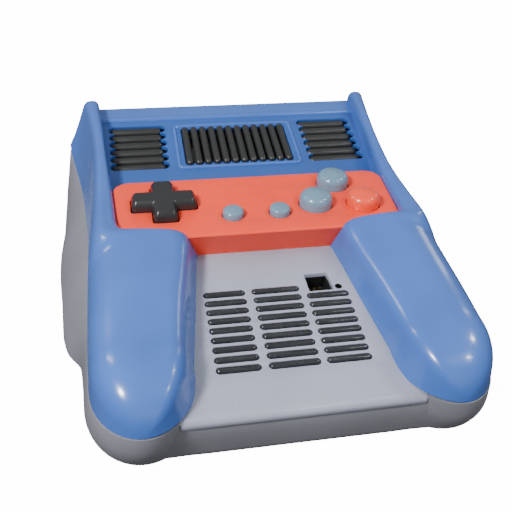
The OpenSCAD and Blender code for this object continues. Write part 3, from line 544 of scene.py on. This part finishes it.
def mirror_copy(bm):
    """Add the mirror image across the middle plane."""
    copy = bmesh.ops.duplicate(bm, geom=bm.verts[:] + bm.edges[:] + bm.faces[:])
    verts = [g for g in copy["geom"] if isinstance(g, bmesh.types.BMVert)]
    for v in verts:
        v.co.x = -v.co.x
    faces = [g for g in copy["geom"] if isinstance(g, bmesh.types.BMFace)]
    bmesh.ops.reverse_faces(bm, faces=faces)


# ---------------------------------------------------------------- shells


def build_shell():
    """The two side rails of the blue upper shell, which swell into the grips at the front."""
    bm = bmesh.new()
    fine = 4
    outer, inner = rail_rings(False, fine), rail_rings(True, fine)
    skin, lining = add_sheet(bm, outer), add_sheet(bm, [list(reversed(r)) for r in inner])
    cols = len(skin[0])
    for a, b, c, d in zip(skin, skin[1:], lining, lining[1:]):
        bm.faces.new((a[0], b[0], d[-1], c[-1]))
        bm.faces.new((b[-1], a[-1], c[0], d[0]))
    for k in range(cols - 1):
        bm.faces.new((skin[0][k + 1], skin[0][k], lining[0][cols - 1 - k], lining[0][cols - 2 - k]))
    for row in (skin[-1], lining[-1]):
        bm.faces.new(row)
    bm.faces.new((skin[-1][0], lining[-1][-1], lining[-1][0], skin[-1][-1]))
    mirror_copy(bm)
    return make("shell_rails", bm, "blue_shell", smooth=50)


SIDE_WINDOW = ((32, 17.4), (57, 50.2))
CENTRE_WINDOW = ((-24.6, 19.4), (24.6, 46.6))
SIDE_BARS = 6
CENTRE_BARS = 12
SIDE_BAR_R, SIDE_BAR_Z = 2.12, -2.1
CENTRE_BAR_R, CENTRE_BAR_Z = 1.62, -0.1
VENT_DECK_T = 2


def scalloped(low, high, bars, along_x):
    """A window whose two ends are a row of half circles, one for each bar."""
    (x0, y0), (x1, y1) = low, high
    out = []
    if along_x:
        pitch = (y1 - y0) / bars
        r = pitch / 2
        for k in range(bars):
            out += arc_points((x1 + 0.5 - r, y0 + (k + 0.5) * pitch), r, -90, 90, 10)[:-1]
        for k in range(bars):
            out += arc_points((x0 - 0.5 + r, y1 - (k + 0.5) * pitch), r, 90, 270, 10)[:-1]
    else:
        pitch = (x1 - x0) / bars
        r = pitch / 2
        for k in range(bars):
            out += arc_points((x1 - (k + 0.5) * pitch, y1 + 0.5 - r), r, 0, 180, 10)[:-1]
        for k in range(bars):
            out += arc_points((x0 + (k + 0.5) * pitch, y0 - 0.5 + r), r, 180, 360, 10)[:-1]
    return out


def build_vent_deck():
    """The sloping blue plate behind the panel, with its three windows."""
    bm = bmesh.new()
    outline = rounded([(57.9, -3, 0), (58.4, 0, 0), (61.2, 56, 0),
                       (-61.2, 56, 0), (-58.4, 0, 0), (-57.9, -3, 0)])
    prism(bm, outline, -VENT_DECK_T, 0, ON_VENT)
    deck = make("vent_deck", bm, "blue_shell")
    deck.data.materials[0] = MATERIALS["blue_vent"]
    tool = bmesh.new()
    for side in (1, -1):
        low = (min(side * SIDE_WINDOW[0][0], side * SIDE_WINDOW[1][0]), SIDE_WINDOW[0][1])
        high = (max(side * SIDE_WINDOW[0][0], side * SIDE_WINDOW[1][0]), SIDE_WINDOW[1][1])
        prism(tool, scalloped(low, high, SIDE_BARS, True), -4, 3, ON_VENT)
    prism(tool, scalloped(*CENTRE_WINDOW, CENTRE_BARS, False), -4, 3, ON_VENT)
    cut(deck, tool, bevel=0.25)
    return deck


def build_vent_rib():
    """The low rounded bead round the centre window."""
    bm = bmesh.new()
    w, low, high = CENTRE_WINDOW[1][0] + 2.7, CENTRE_WINDOW[0][1] - 2.1, CENTRE_WINDOW[1][1] + 2.1
    path = rounded([(w, low, 1.8), (w, high, 1.8), (-w, high, 1.8), (-w, low, 1.8)], 6)
    n = len(path)
    rows = []
    for j in range(9):
        a = math.pi * j / 8
        across, up = 0.8 * math.cos(a), 0.75 * math.sin(a) - 0.05
        row = []
        for k in range(n):
            tangent = (path[(k + 1) % n] - path[k - 1]).normalized()
            p = path[k] + Vector((tangent.y, -tangent.x)) * across
            row.append(ON_VENT @ Vector((p.x, p.y, up)))
        rows.append(row)
    rows.append([v.copy() for v in rows[0]])
    add_sheet(bm, rows, closed=True)
    return make("vent_rib", bm, "blue_shell", smooth=60)


def build_rear_ledge():
    """The stepped ledge that closes the vent deck at the back, and the rear wall."""
    bm = bmesh.new()
    top = [(79.3, 49.6), (79.3, 51.9), (79.5, 52.6), (79.95, 53.1), (80.5, 53.35), (81.05, 53.25),
           (81.5, 53.1), (82.0, 53.2), (89.2, 54.35), (90.0, 54.4), (90.7, 54.1), (91.15, 53.5),
           (91.25, 52.8), (91.25, 50), (89, 49.6)]
    rows = [[Vector((x, y, z)) for y, z in top] for x in (-61.3, 61.3)]
    grid = add_sheet(bm, rows, closed=True)
    bm.faces.new(grid[0])
    bm.faces.new(reversed(grid[1]))
    outline = rounded([(75.4, 36.2, 0), (67, 51.6, 1.5), (61, 53.6, 0), (-61, 53.6, 0), (-67, 51.6, 1.5),
                       (-75.4, 36.2, 0), (-62, 35.45, 0), (-40, 34.95, 0), (40, 34.95, 0), (62, 35.45, 0)])
    turn = Matrix.Translation((0, 91.3, 0)) @ Matrix.Rotation(math.pi / 2, 4, "X")
    prism(bm, outline, 0, WALL, turn)
    return make("rear_ledge", bm, "blue_shell", smooth=40)


# Centre x, height and radius of the round holes in the rear wall, and the corners of the switch's slot
POWER_JACK_HOLE, AV_JACK_HOLE = (42, 14.2, 4.6), (22, 14.2, 3.9)
SWITCH_SLOT = ((-46.8, 85, 11.6), (-37.2, 96, 15.6))


def casing_sections(fine):
    """Closed sections round the lower casing: outer wall, lip, and the wall's inside."""
    rows = [as_values(r) for r in CASING]
    half = [station(rows, k / fine) for k in range((len(rows) - 1) * fine + 1)]
    steps = 8 * fine
    for k in range(1, steps + 1):
        ring = []
        for cx, hw, cy, hd, z, sweep in LOBES:
            a = math.radians(sweep * k / steps)
            lift = NOSE_RISE * math.sin(a) if z > 20 else 0
            ring.append(Vector((cx + hw * math.cos(a), cy - hd * math.sin(a), z + lift)))
        half.append(ring)
    half += [as_values(r) for r in CASING_FRONT]
    flip = [[Vector((-p.x, p.y, p.z)) for p in ring] for ring in half[-2:0:-1]]
    loop = half + flip
    n = len(loop)
    sections = []
    for k, s in enumerate(loop):
        inward = []
        for level in range(3):
            d = loop[(k + 1) % n][level] - loop[k - 1][level]
            inward.append(Vector((d.y, -d.x, 0)).normalized())
        foot = s[0] - flat(s[0]).normalized() * 8
        top = s[2] - Vector((0, 0, SEAM_GAP))
        lip = 0.45
        outer = [*corner(foot, s[0], s[1], 0.5, 0.45, 4 * fine),
                 *corner(s[0], s[1], top, 0.4, 0.4, 4 * fine)[:-1]]
        rim = [top.lerp(s[1], lip / (top - s[1]).length), top + inward[2] * 0.12 - Vector((0, 0, 0.12)),
               top + inward[2] * lip]
        sections.append([foot, *outer, *rim, top + inward[2] * WALL, s[1] + inward[1] * WALL,
                         s[0] + inward[0] * (WALL + 1.8) + Vector((0, 0, 2.6)), foot + Vector((0, 0, 2.6))])
    return sections


def build_casing():
    """The grey lower casing with its openings in the rear wall."""
    bm = bmesh.new()
    sections = casing_sections(3)
    columns = [list(c) for c in zip(*sections)]
    grid = add_sheet(bm, columns, closed=True)
    for ring, z in ((grid[0], FLOOR_Z), (grid[-1], FLOOR_Z + 2.6)):
        centre = bm.verts.new((0, 0, z))
        for k in range(len(ring)):
            bm.faces.new((ring[k], ring[(k + 1) % len(ring)], centre))
    casing = make("casing", bm, "grey_casing", smooth=40)
    tool = bmesh.new()
    rear = Matrix.Rotation(math.radians(-90), 4, "X")
    for x, z, r in (POWER_JACK_HOLE, AV_JACK_HOLE):
        revolve(tool, [(0, -4), (r, -4), (r, 4), (0, 4)], Matrix.Translation((x, 91, z)) @ rear, 48)
    box(tool, *SWITCH_SLOT)
    cut(casing, tool)
    return casing


for piece in (build_shell(), build_vent_deck(), build_vent_rib(), build_rear_ledge()):
    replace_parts(piece, "top_shell")
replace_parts(build_casing(), "base_tub")

# ---------------------------------------------------------------- deck, louvres and grilles

# Half-width of the front deck at a distance along it, from the front lip to the control panel
DECK_EDGE = [(-19.6, 39.5), (-18, 40.2), (-16.5, 39.9), (-13.6, 37.9), (-5.9, 35.2), (9.5, 32.7),
             (29.5, 29.9), (44, 28.6), (57.6, 28)]
DECK_LIP = [(-16.6, -3.3), (-18.9, -3.3), (-19, -1.9), (-18.85, -1.35), (-18.45, -0.8), (-17.85, -0.35),
            (-17.1, -0.1), (-16.2, 0), (-15.6, 0)]
LOUVRES = {"left": (-19, 15.4, 0), "centre": (0, 17.9, 0), "right": (18.8, 15.9, 1)}
LOUVRE_FIRST, LOUVRE_PITCH, LOUVRE_ROWS = 34.4, 4.29, 9
SLOT_WIDTH, BAR_WIDTH = 3.05, 2.6
LINK = (16.5, 36.9, 4.3, 4.5)
PINHOLE = (23.8, 33.9, 1.35)
BUTTON_HOLE_GAP = 0.3


def deck_half_width(y):
    for (y0, w0), (y1, w1) in zip(DECK_EDGE, DECK_EDGE[1:]):
        if y <= y1:
            return w0 + (w1 - w0) * (y - y0) / (y1 - y0)
    return DECK_EDGE[-1][1]


def louvre_centres(column):
    x, length, first = LOUVRES[column]
    return [(x, LOUVRE_FIRST - k * LOUVRE_PITCH) for k in range(first, LOUVRE_ROWS)], length


def circle(x, y, r, n=48):
    return arc_points((x, y), r, 0, 360, n)[:-1]


def build_front_deck():
    """Grey deck plate with a rolled front lip, louvre slots, socket opening and pinhole."""
    bm = bmesh.new()
    profile = [*DECK_LIP, *[(y, 0) for y, _ in DECK_EDGE[3:]], (57.6, -2), (-13, -2)]
    rows = [[ON_DECK @ Vector((side * deck_half_width(y), y, z)) for y, z in profile] for side in (-1, 1)]
    grid = add_sheet(bm, rows, closed=True)
    bm.faces.new(grid[0])
    bm.faces.new(reversed(grid[1]))
    deck = make("deck_plate", bm, "grey_deck")
    tool = bmesh.new()
    for column in LOUVRES:
        centres, length = louvre_centres(column)
        for centre in centres:
            prism(tool, slot_outline(length, SLOT_WIDTH, centre), -5, 2, ON_DECK)
    x, y, hx, hy = LINK
    prism(tool, rounded([(x + hx + 1.1, y - hy, 0.4), (x + hx + 0.2, y + hy, 0.4), (x - hx, y + hy, 0.4),
                         (x - hx + 0.2, y - hy, 0.4)], 4), -5, 2, ON_DECK)
    prism(tool, circle(*PINHOLE, 32), -5, 2, ON_DECK)
    cut(deck, tool, bevel=0.22)
    return deck


def build_louvres(column):
    """A ladder of louvre bars with three rungs below that join them."""
    bm = bmesh.new()
    centres, length = louvre_centres(column)
    for centre in centres:
        bar = slot_outline(length - 0.2, BAR_WIDTH, centre)
        add_pillow(bm, bar, round_levels(0.8, 1.22, -3.1, 7), ON_DECK)
    front, rear = centres[-1][1] - 1.4, centres[0][1] + 1.4
    for offset in (3.2 - length / 2, 0, length / 2 - 3.2):
        x = LOUVRES[column][0] + offset
        box(bm, (x - 0.8, front, -4.6), (x + 0.8, rear, -2.9), ON_DECK)
    return make("louvres_" + column, bm, "slate_bars", smooth=60)


def add_capsule(bm, frame_of, length, r):
    """A bar with round ends, lying along X."""
    arcs = 7
    ends = [math.pi / 2 * k / arcs for k in range(arcs + 1)]
    profile = [(r * math.sin(a), r - length / 2 - r * math.cos(a)) for a in ends]
    profile += [(r * math.cos(a), length / 2 - r + r * math.sin(a)) for a in ends]
    revolve(bm, profile, frame_of @ Matrix.Rotation(math.pi / 2, 4, "Y"), 28)


def build_side_grille(side):
    """Bars across one side window, on two cross pieces below them."""
    bm = bmesh.new()
    (x0, y0), (x1, y1) = SIDE_WINDOW
    pitch = (y1 - y0) / SIDE_BARS
    x, length = side * (x0 + x1) / 2 - 0.8, x1 - x0 - 1.2
    for k in range(SIDE_BARS):
        add_capsule(bm, ON_VENT @ Matrix.Translation((x, y0 + (k + 0.5) * pitch, SIDE_BAR_Z)),
                    length, SIDE_BAR_R)
    for end in (-1, 1):
        rail_x = x + end * (length / 2 - 3)
        box(bm, (rail_x - 1.5, y0 - 1.5, -4.8), (rail_x + 1.5, y1 + 1.5, -2.6), ON_VENT)
    return make("grille_left" if side < 0 else "grille_right", bm, "dark_bars", smooth=60)


def build_centre_grille():
    """Bars along the centre window, each on two blocks, on two cross pieces below them."""
    bm = bmesh.new()
    (x0, y0), (x1, y1) = CENTRE_WINDOW
    pitch = (x1 - x0) / CENTRE_BARS
    length, middle = y1 - y0 + 0.4, (y0 + y1) / 2
    for k in range(CENTRE_BARS):
        x = x0 + (k + 0.5) * pitch
        place = ON_VENT @ Matrix.Translation((x, middle, CENTRE_BAR_Z)) @ Matrix.Rotation(math.pi / 2, 4, "Z")
        add_capsule(bm, place, length, CENTRE_BAR_R)
        for end in (-1, 1):
            y = middle + end * (length / 2 - 3)
            box(bm, (x - 0.8, y - 1, -3), (x + 0.8, y + 1, -0.2), ON_VENT)
    for end in (-1, 1):
        y = middle + end * (length / 2 - 3)
        box(bm, (x0 - 1.5, y - 1.5, -4.8), (x1 + 1.5, y + 1.5, -2.5), ON_VENT)
    return make("grille_centre", bm, "dark_bars", smooth=60)


# ---------------------------------------------------------------- control panel and keys

PANEL_DEPTH = 41.9
STEM_HALF, STEM_REACH = 31.2, 1.7
STEM_DROP, PANEL_DROP = 10.4, 5.2
DPAD = (-37, 23)
DPAD_LEN, DPAD_ARM, DPAD_GAP = 25.4, 9.4, 0.45
ACTION = {"rear": (34, 31.6), "front": (23.1, 16.8), "right": (42.4, 15.2)}
MENU = {"left": (-11, 12.4), "right": (7.5, 12.4)}
ACTION_R, MENU_R = 6.6, 4.1


def cross_outline(length, arm, tip_r, inner_r, centre):
    """A cross with rounded tips and rounded inner corners."""
    a, b = length / 2, arm / 2
    corners = []
    for turn in range(4):
        c, s = (1, 0, -1, 0)[turn], (0, 1, 0, -1)[turn]
        for x, y, r in ((a, -b, tip_r), (a, b, tip_r), (b, b, inner_r)):
            corners.append((centre[0] + c * x - s * y, centre[1] + s * x + c * y, r))
    return rounded(corners, 5)


def build_panel():
    """Red T-shaped panel: rounded top edges, a skirt, and the stem's face leaning down to the deck."""
    bm = bmesh.new()
    outline = rounded(mirrored([(STEM_HALF, 0, 1.2), (STEM_HALF, STEM_REACH, 0), (55.2, STEM_REACH + 0.2, 7),
                                (57.3, PANEL_DEPTH, 7)]), 10)
    add_pillow(bm, outline, round_levels(0, 0.95, -1.4)[:-1] + [(0, -1.4), (0, -PANEL_DROP)])
    for v in bm.verts:
        if v.co.z < -1.2 and v.co.y < STEM_REACH - 0.1 and abs(v.co.x) < STEM_HALF + 0.2:
            deep = STEM_DROP if v.co.z < -2 else -v.co.z
            v.co.z = -deep
            v.co.y += 0.18 * deep
            v.co.x *= 1 - 0.011 * deep
    bmesh.ops.transform(bm, matrix=ON_PANEL, verts=bm.verts)
    panel = make("panel", bm, "red_panel")
    tool = bmesh.new()
    hole = cross_outline(DPAD_LEN + 2 * DPAD_GAP, DPAD_ARM + 2 * DPAD_GAP, 1.3, 0.5, DPAD)
    prism(tool, hole, -12, 3, ON_PANEL)
    for x, y in ACTION.values():
        prism(tool, circle(x, y, ACTION_R + BUTTON_HOLE_GAP, 64), -12, 3, ON_PANEL)
    for x, y in MENU.values():
        prism(tool, circle(x, y, MENU_R + BUTTON_HOLE_GAP, 48), -12, 3, ON_PANEL)
    cut(panel, tool, bevel=0.3, segments=3)
    return panel


def build_dpad():
    """Direction pad: a cross with broad bevels and a nearly flat top."""
    bm = bmesh.new()
    frame_of = ON_PANEL @ Matrix.Translation((*DPAD, 0))
    levels = [(3.1, 4.32), (1.9, 4.3), (1.62, 4.25), (1.36, 4.08), (0.8, 3.3), (0.38, 2.6), (0.12, 1.9),
              (0, 1.2), (0, -3.6)]
    rows = []
    for inset, z in levels:
        tip_r, inner_r = max(0.2, 1.7 - inset * 0.6), 0.3 + inset * 0.5
        ring = cross_outline(DPAD_LEN - 2 * inset, DPAD_ARM - 2 * inset, tip_r, inner_r, (0, 0))
        rows.append([frame_of @ Vector((p.x, p.y, z)) for p in ring])
    grid = add_sheet(bm, rows, closed=True)
    bm.faces.new(grid[-1])
    # The top is one face for each arm, from one inner corner to the next, and a square between them
    loop = grid[0]
    corners = len(loop) // 12
    starts = [k * 3 * corners + 2 * corners + corners // 2 for k in range(4)]
    for a, b in zip(starts, [*starts[1:], starts[0] + len(loop)]):
        bm.faces.new([loop[j % len(loop)] for j in range(a, b + 1)])
    bm.faces.new([loop[k] for k in starts])
    return make("direction_pad", bm, "black_pad", body="dpad_key", smooth=25)


def dome_profile(r, height, crown, shoulder):
    """Button cap: gently domed top, rounded shoulder, side wall, retaining flange and stem."""
    reach = (r - shoulder) / r
    top = [(r * t, height + crown * (1 - (t / reach) ** 2))
           for t in (0.0, 0.2 * reach, 0.4 * reach, 0.6 * reach, 0.8 * reach)]
    edge_r = r - shoulder
    last = top[-1]
    arc = []
    for k in range(9):
        a = math.pi / 2 * k / 8
        arc.append((edge_r + shoulder * math.sin(a), height - shoulder * (1 - math.cos(a)) * 1.05))
    arc = [p for p in arc if p[0] > last[0] + 0.2]
    return [*top, *arc, (r, -2.3), (r + 1.3, -2.3), (r + 1.3, -3.5), (2, -3.5), (2, -5.4), (0, -5.4)]


def build_button(name, centre, r, height, crown, shoulder, slot_name, body):
    bm = bmesh.new()
    revolve(bm, dome_profile(r, height, crown, shoulder), ON_PANEL @ Matrix.Translation((*centre, 0)), 72)
    return make(name, bm, slot_name, body=body, smooth=40)


def build_link_socket():
    """Black socket well with a grey keying block along its right side, and a black sleeve of painted shade in
    the pinhole.
    """
    bm = bmesh.new()
    x, y, hx, hy = LINK
    wall = 0.75
    for low, high in (((x - hx - wall, y - hy - wall), (x - hx, y + hy + wall)),
                      ((x + hx, y - hy - wall), (x + hx + wall, y + hy + wall)),
                      ((x - hx, y - hy - wall), (x + hx, y - hy)),
                      ((x - hx, y + hy), (x + hx, y + hy + wall))):
        box(bm, (*low, -9), (*high, -2.05), ON_DECK)
    box(bm, (x - hx, y - hy, -9), (x + hx, y + hy, -7.7), ON_DECK)
    x, y, r = PINHOLE
    # Painted shade: a black sleeve inside the pinhole covers the grey wall of the hole
    shade_sleeve = [(r - 0.2, -4), (r - 0.02, -4), (r - 0.02, -0.25), (r - 0.2, -0.25), (r - 0.2, -4)]
    add_sheet(bm, [[ON_DECK @ Vector((p.x, p.y, z)) for p in circle(x, y, reach, 32)] for reach, z in shade_sleeve],
              closed=True)
    well = make("socket_well", bm, "black_plastic", smooth=30)
    bm = bmesh.new()
    key = rounded([(x + hx + 0.9, y - hy + 0.3, 0.3), (x + hx + 0.2, y + hy - 0.1, 0.3),
                   (x + hx - 2.4, y + hy - 0.1, 0.3), (x + hx - 1.9, y - hy + 0.3, 0.3)], 4)
    add_pillow(bm, key, [(0.35, -0.7), (0.1, -0.8), (0, -1.05), (0, -7.8)], ON_DECK)
    block = make("socket_key", bm, "black_plastic", smooth=40)
    block.data.materials[0] = MATERIALS["black_pad"]
    return well, block


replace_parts(build_front_deck(), "front_deck")
for piece in build_link_socket():
    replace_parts(piece, "link_socket")
for column in LOUVRES:
    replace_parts(build_louvres(column), "deck_louvres_" + column)
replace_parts(build_side_grille(-1), "vent_grille_left")
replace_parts(build_side_grille(1), "vent_grille_right")
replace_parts(build_centre_grille(), "vent_grille_centre")
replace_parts(build_panel(), "control_panel")
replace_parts(build_dpad(), "dpad")
for side, slot_name in (("rear", "pale_button"), ("front", "pale_button"), ("right", "orange_button")):
    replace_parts(build_button("button_" + side, ACTION[side], ACTION_R, 5.35, 0.7, 2.9, slot_name,
                             side + "_action_key"), side + "_action_button")
for side in MENU:
    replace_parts(build_button("menu_" + side, MENU[side], MENU_R, 2.75, 0.3, 1.2, "pale_button",
                             side + "_menu_key"), side + "_menu_button")


# ---------------------------------------------------------------- set


CAMERA_PLACE = (-0.050, -0.2412, 0.1812)
# The camera looks against the first direction; the second points to the right of the picture
CAMERA_BACK = (-0.16829, -0.82471, 0.53997)
CAMERA_RIGHT = (0.98308, -0.18064, 0.03052)


def make_camera():
    """A 50 mm camera on the photograph's side: a little to the left, looking down at the front."""
    data = bpy.data.cameras.new("camera")
    data.lens = 50
    data.sensor_width = 36
    data.clip_start = 0.01
    obj = bpy.data.objects.new("camera", data)
    back = Vector(CAMERA_BACK).normalized()
    right = Vector(CAMERA_RIGHT).normalized()
    up = back.cross(right)
    turn = Matrix((right, up, back)).transposed().to_4x4()
    obj.matrix_world = Matrix.Translation(CAMERA_PLACE) @ turn
    bpy.context.scene.collection.objects.link(obj)
    bpy.context.scene.camera = obj


def make_light(name, place, aim, power, size, colour=(1, 1, 1), glossy=True, diffuse=True):
    """A rectangle of light; glossy off leaves no glint, diffuse off leaves nothing but the glint."""
    data = bpy.data.lights.new(name, "AREA")
    data.energy = power
    data.color = colour
    data.shape = "RECTANGLE"
    data.size, data.size_y = size
    obj = bpy.data.objects.new(name, data)
    obj.location = place
    obj.visible_glossy = glossy
    obj.visible_diffuse = diffuse
    obj.rotation_euler = (Vector(aim) - Vector(place)).to_track_quat("-Z", "Y").to_euler()
    bpy.context.scene.collection.objects.link(obj)


def make_floor():
    """A plain white table, lit by itself as on a product set, that throws no light up at the object."""
    mesh = bpy.data.meshes.new("floor")
    reach = 3.0
    mesh.from_pydata([(-reach, -reach, 0), (reach, -reach, 0), (reach, reach, 0), (-reach, reach, 0)],
                     [], [(0, 1, 2, 3)])
    obj = bpy.data.objects.new("floor", mesh)
    n = Nodes("floor_white")
    n.set("Base Color", [0.9, 0.9, 0.9, 1])
    n.set("Roughness", 0.9)
    n.set("Emission Color", [1, 1, 1, 1])
    n.set("Emission Strength", FLOOR_GLOW)
    mesh.materials.append(n.material)
    bpy.context.scene.collection.objects.link(obj)
    obj.visible_diffuse = False
    obj.visible_glossy = False


def make_world():
    """A soft studio dome, bright overhead and dim towards and below the horizon."""
    world = bpy.data.worlds.new("studio")
    bpy.context.scene.world = world
    world.use_nodes = True
    tree = world.node_tree
    background = tree.nodes["Background"]
    place = tree.nodes.new("ShaderNodeTexCoord")
    split = tree.nodes.new("ShaderNodeSeparateXYZ")
    ramp = tree.nodes.new("ShaderNodeValToRGB")
    tree.links.new(place.outputs["Generated"], split.inputs[0])
    height = tree.nodes.new("ShaderNodeMapRange")
    height.inputs["From Min"].default_value = -1
    tree.links.new(split.outputs["Z"], height.inputs["Value"])
    tree.links.new(height.outputs["Result"], ramp.inputs["Fac"])
    stops = ramp.color_ramp.elements
    for position, level in WORLD_LEVELS:
        stop = stops.new(position)
        stop.color = (level, level, level * 1.01, 1)
    stops.remove(stops[0])
    stops.remove(stops[-1])
    tree.links.new(ramp.outputs["Color"], background.inputs["Color"])
    background.inputs["Strength"].default_value = 1.0


FLOOR_GLOW = 14.0
WORLD_LEVELS = ((0.01, 0.08), (0.44, 0.14), (0.54, 0.22), (0.75, 0.36), (0.99, 0.5))
make_camera()
make_world()
make_floor()
make_light("key", (-0.40, -0.31, 0.52), (0, 0, 0.03), 6.4, (0.11, 0.11))
make_light("front_fill", (0.05, -0.75, 0.22), (0, 0, 0.03), 1.5, (0.5, 0.3), glossy=False)
# Small boxes and strips of light whose glints show on the noses and along the ridges of the grips
make_light("box_centre", (0.16, -0.20, 0.30), (0, -0.08, 0.03), 0.22, (0.035, 0.035))
make_light("box_right", (0.345, -0.01, 0.437), (0.05, -0.08, 0.03), 0.6, (0.05, 0.05))
make_light("strip_left", (-0.36, 0.19, 0.41), (0.04, -0.05, 0.04), 0.35, (0.05, 0.15), diffuse=False)
make_light("strip_right", (0.41, 0.28, 0.25), (-0.04, -0.05, 0.04), 0.09, (0.04, 0.12), diffuse=False)
make_light("side_fill", (-0.50, 0.30, 0.20), (-0.05, 0.05, 0.03), 0.8, (0.3, 0.2), (0.92, 0.82, 1),
           glossy=False)
make_light("back_fill", (0.20, 0.75, 0.25), (0, 0, 0.03), 0.9, (0.5, 0.3), glossy=False)
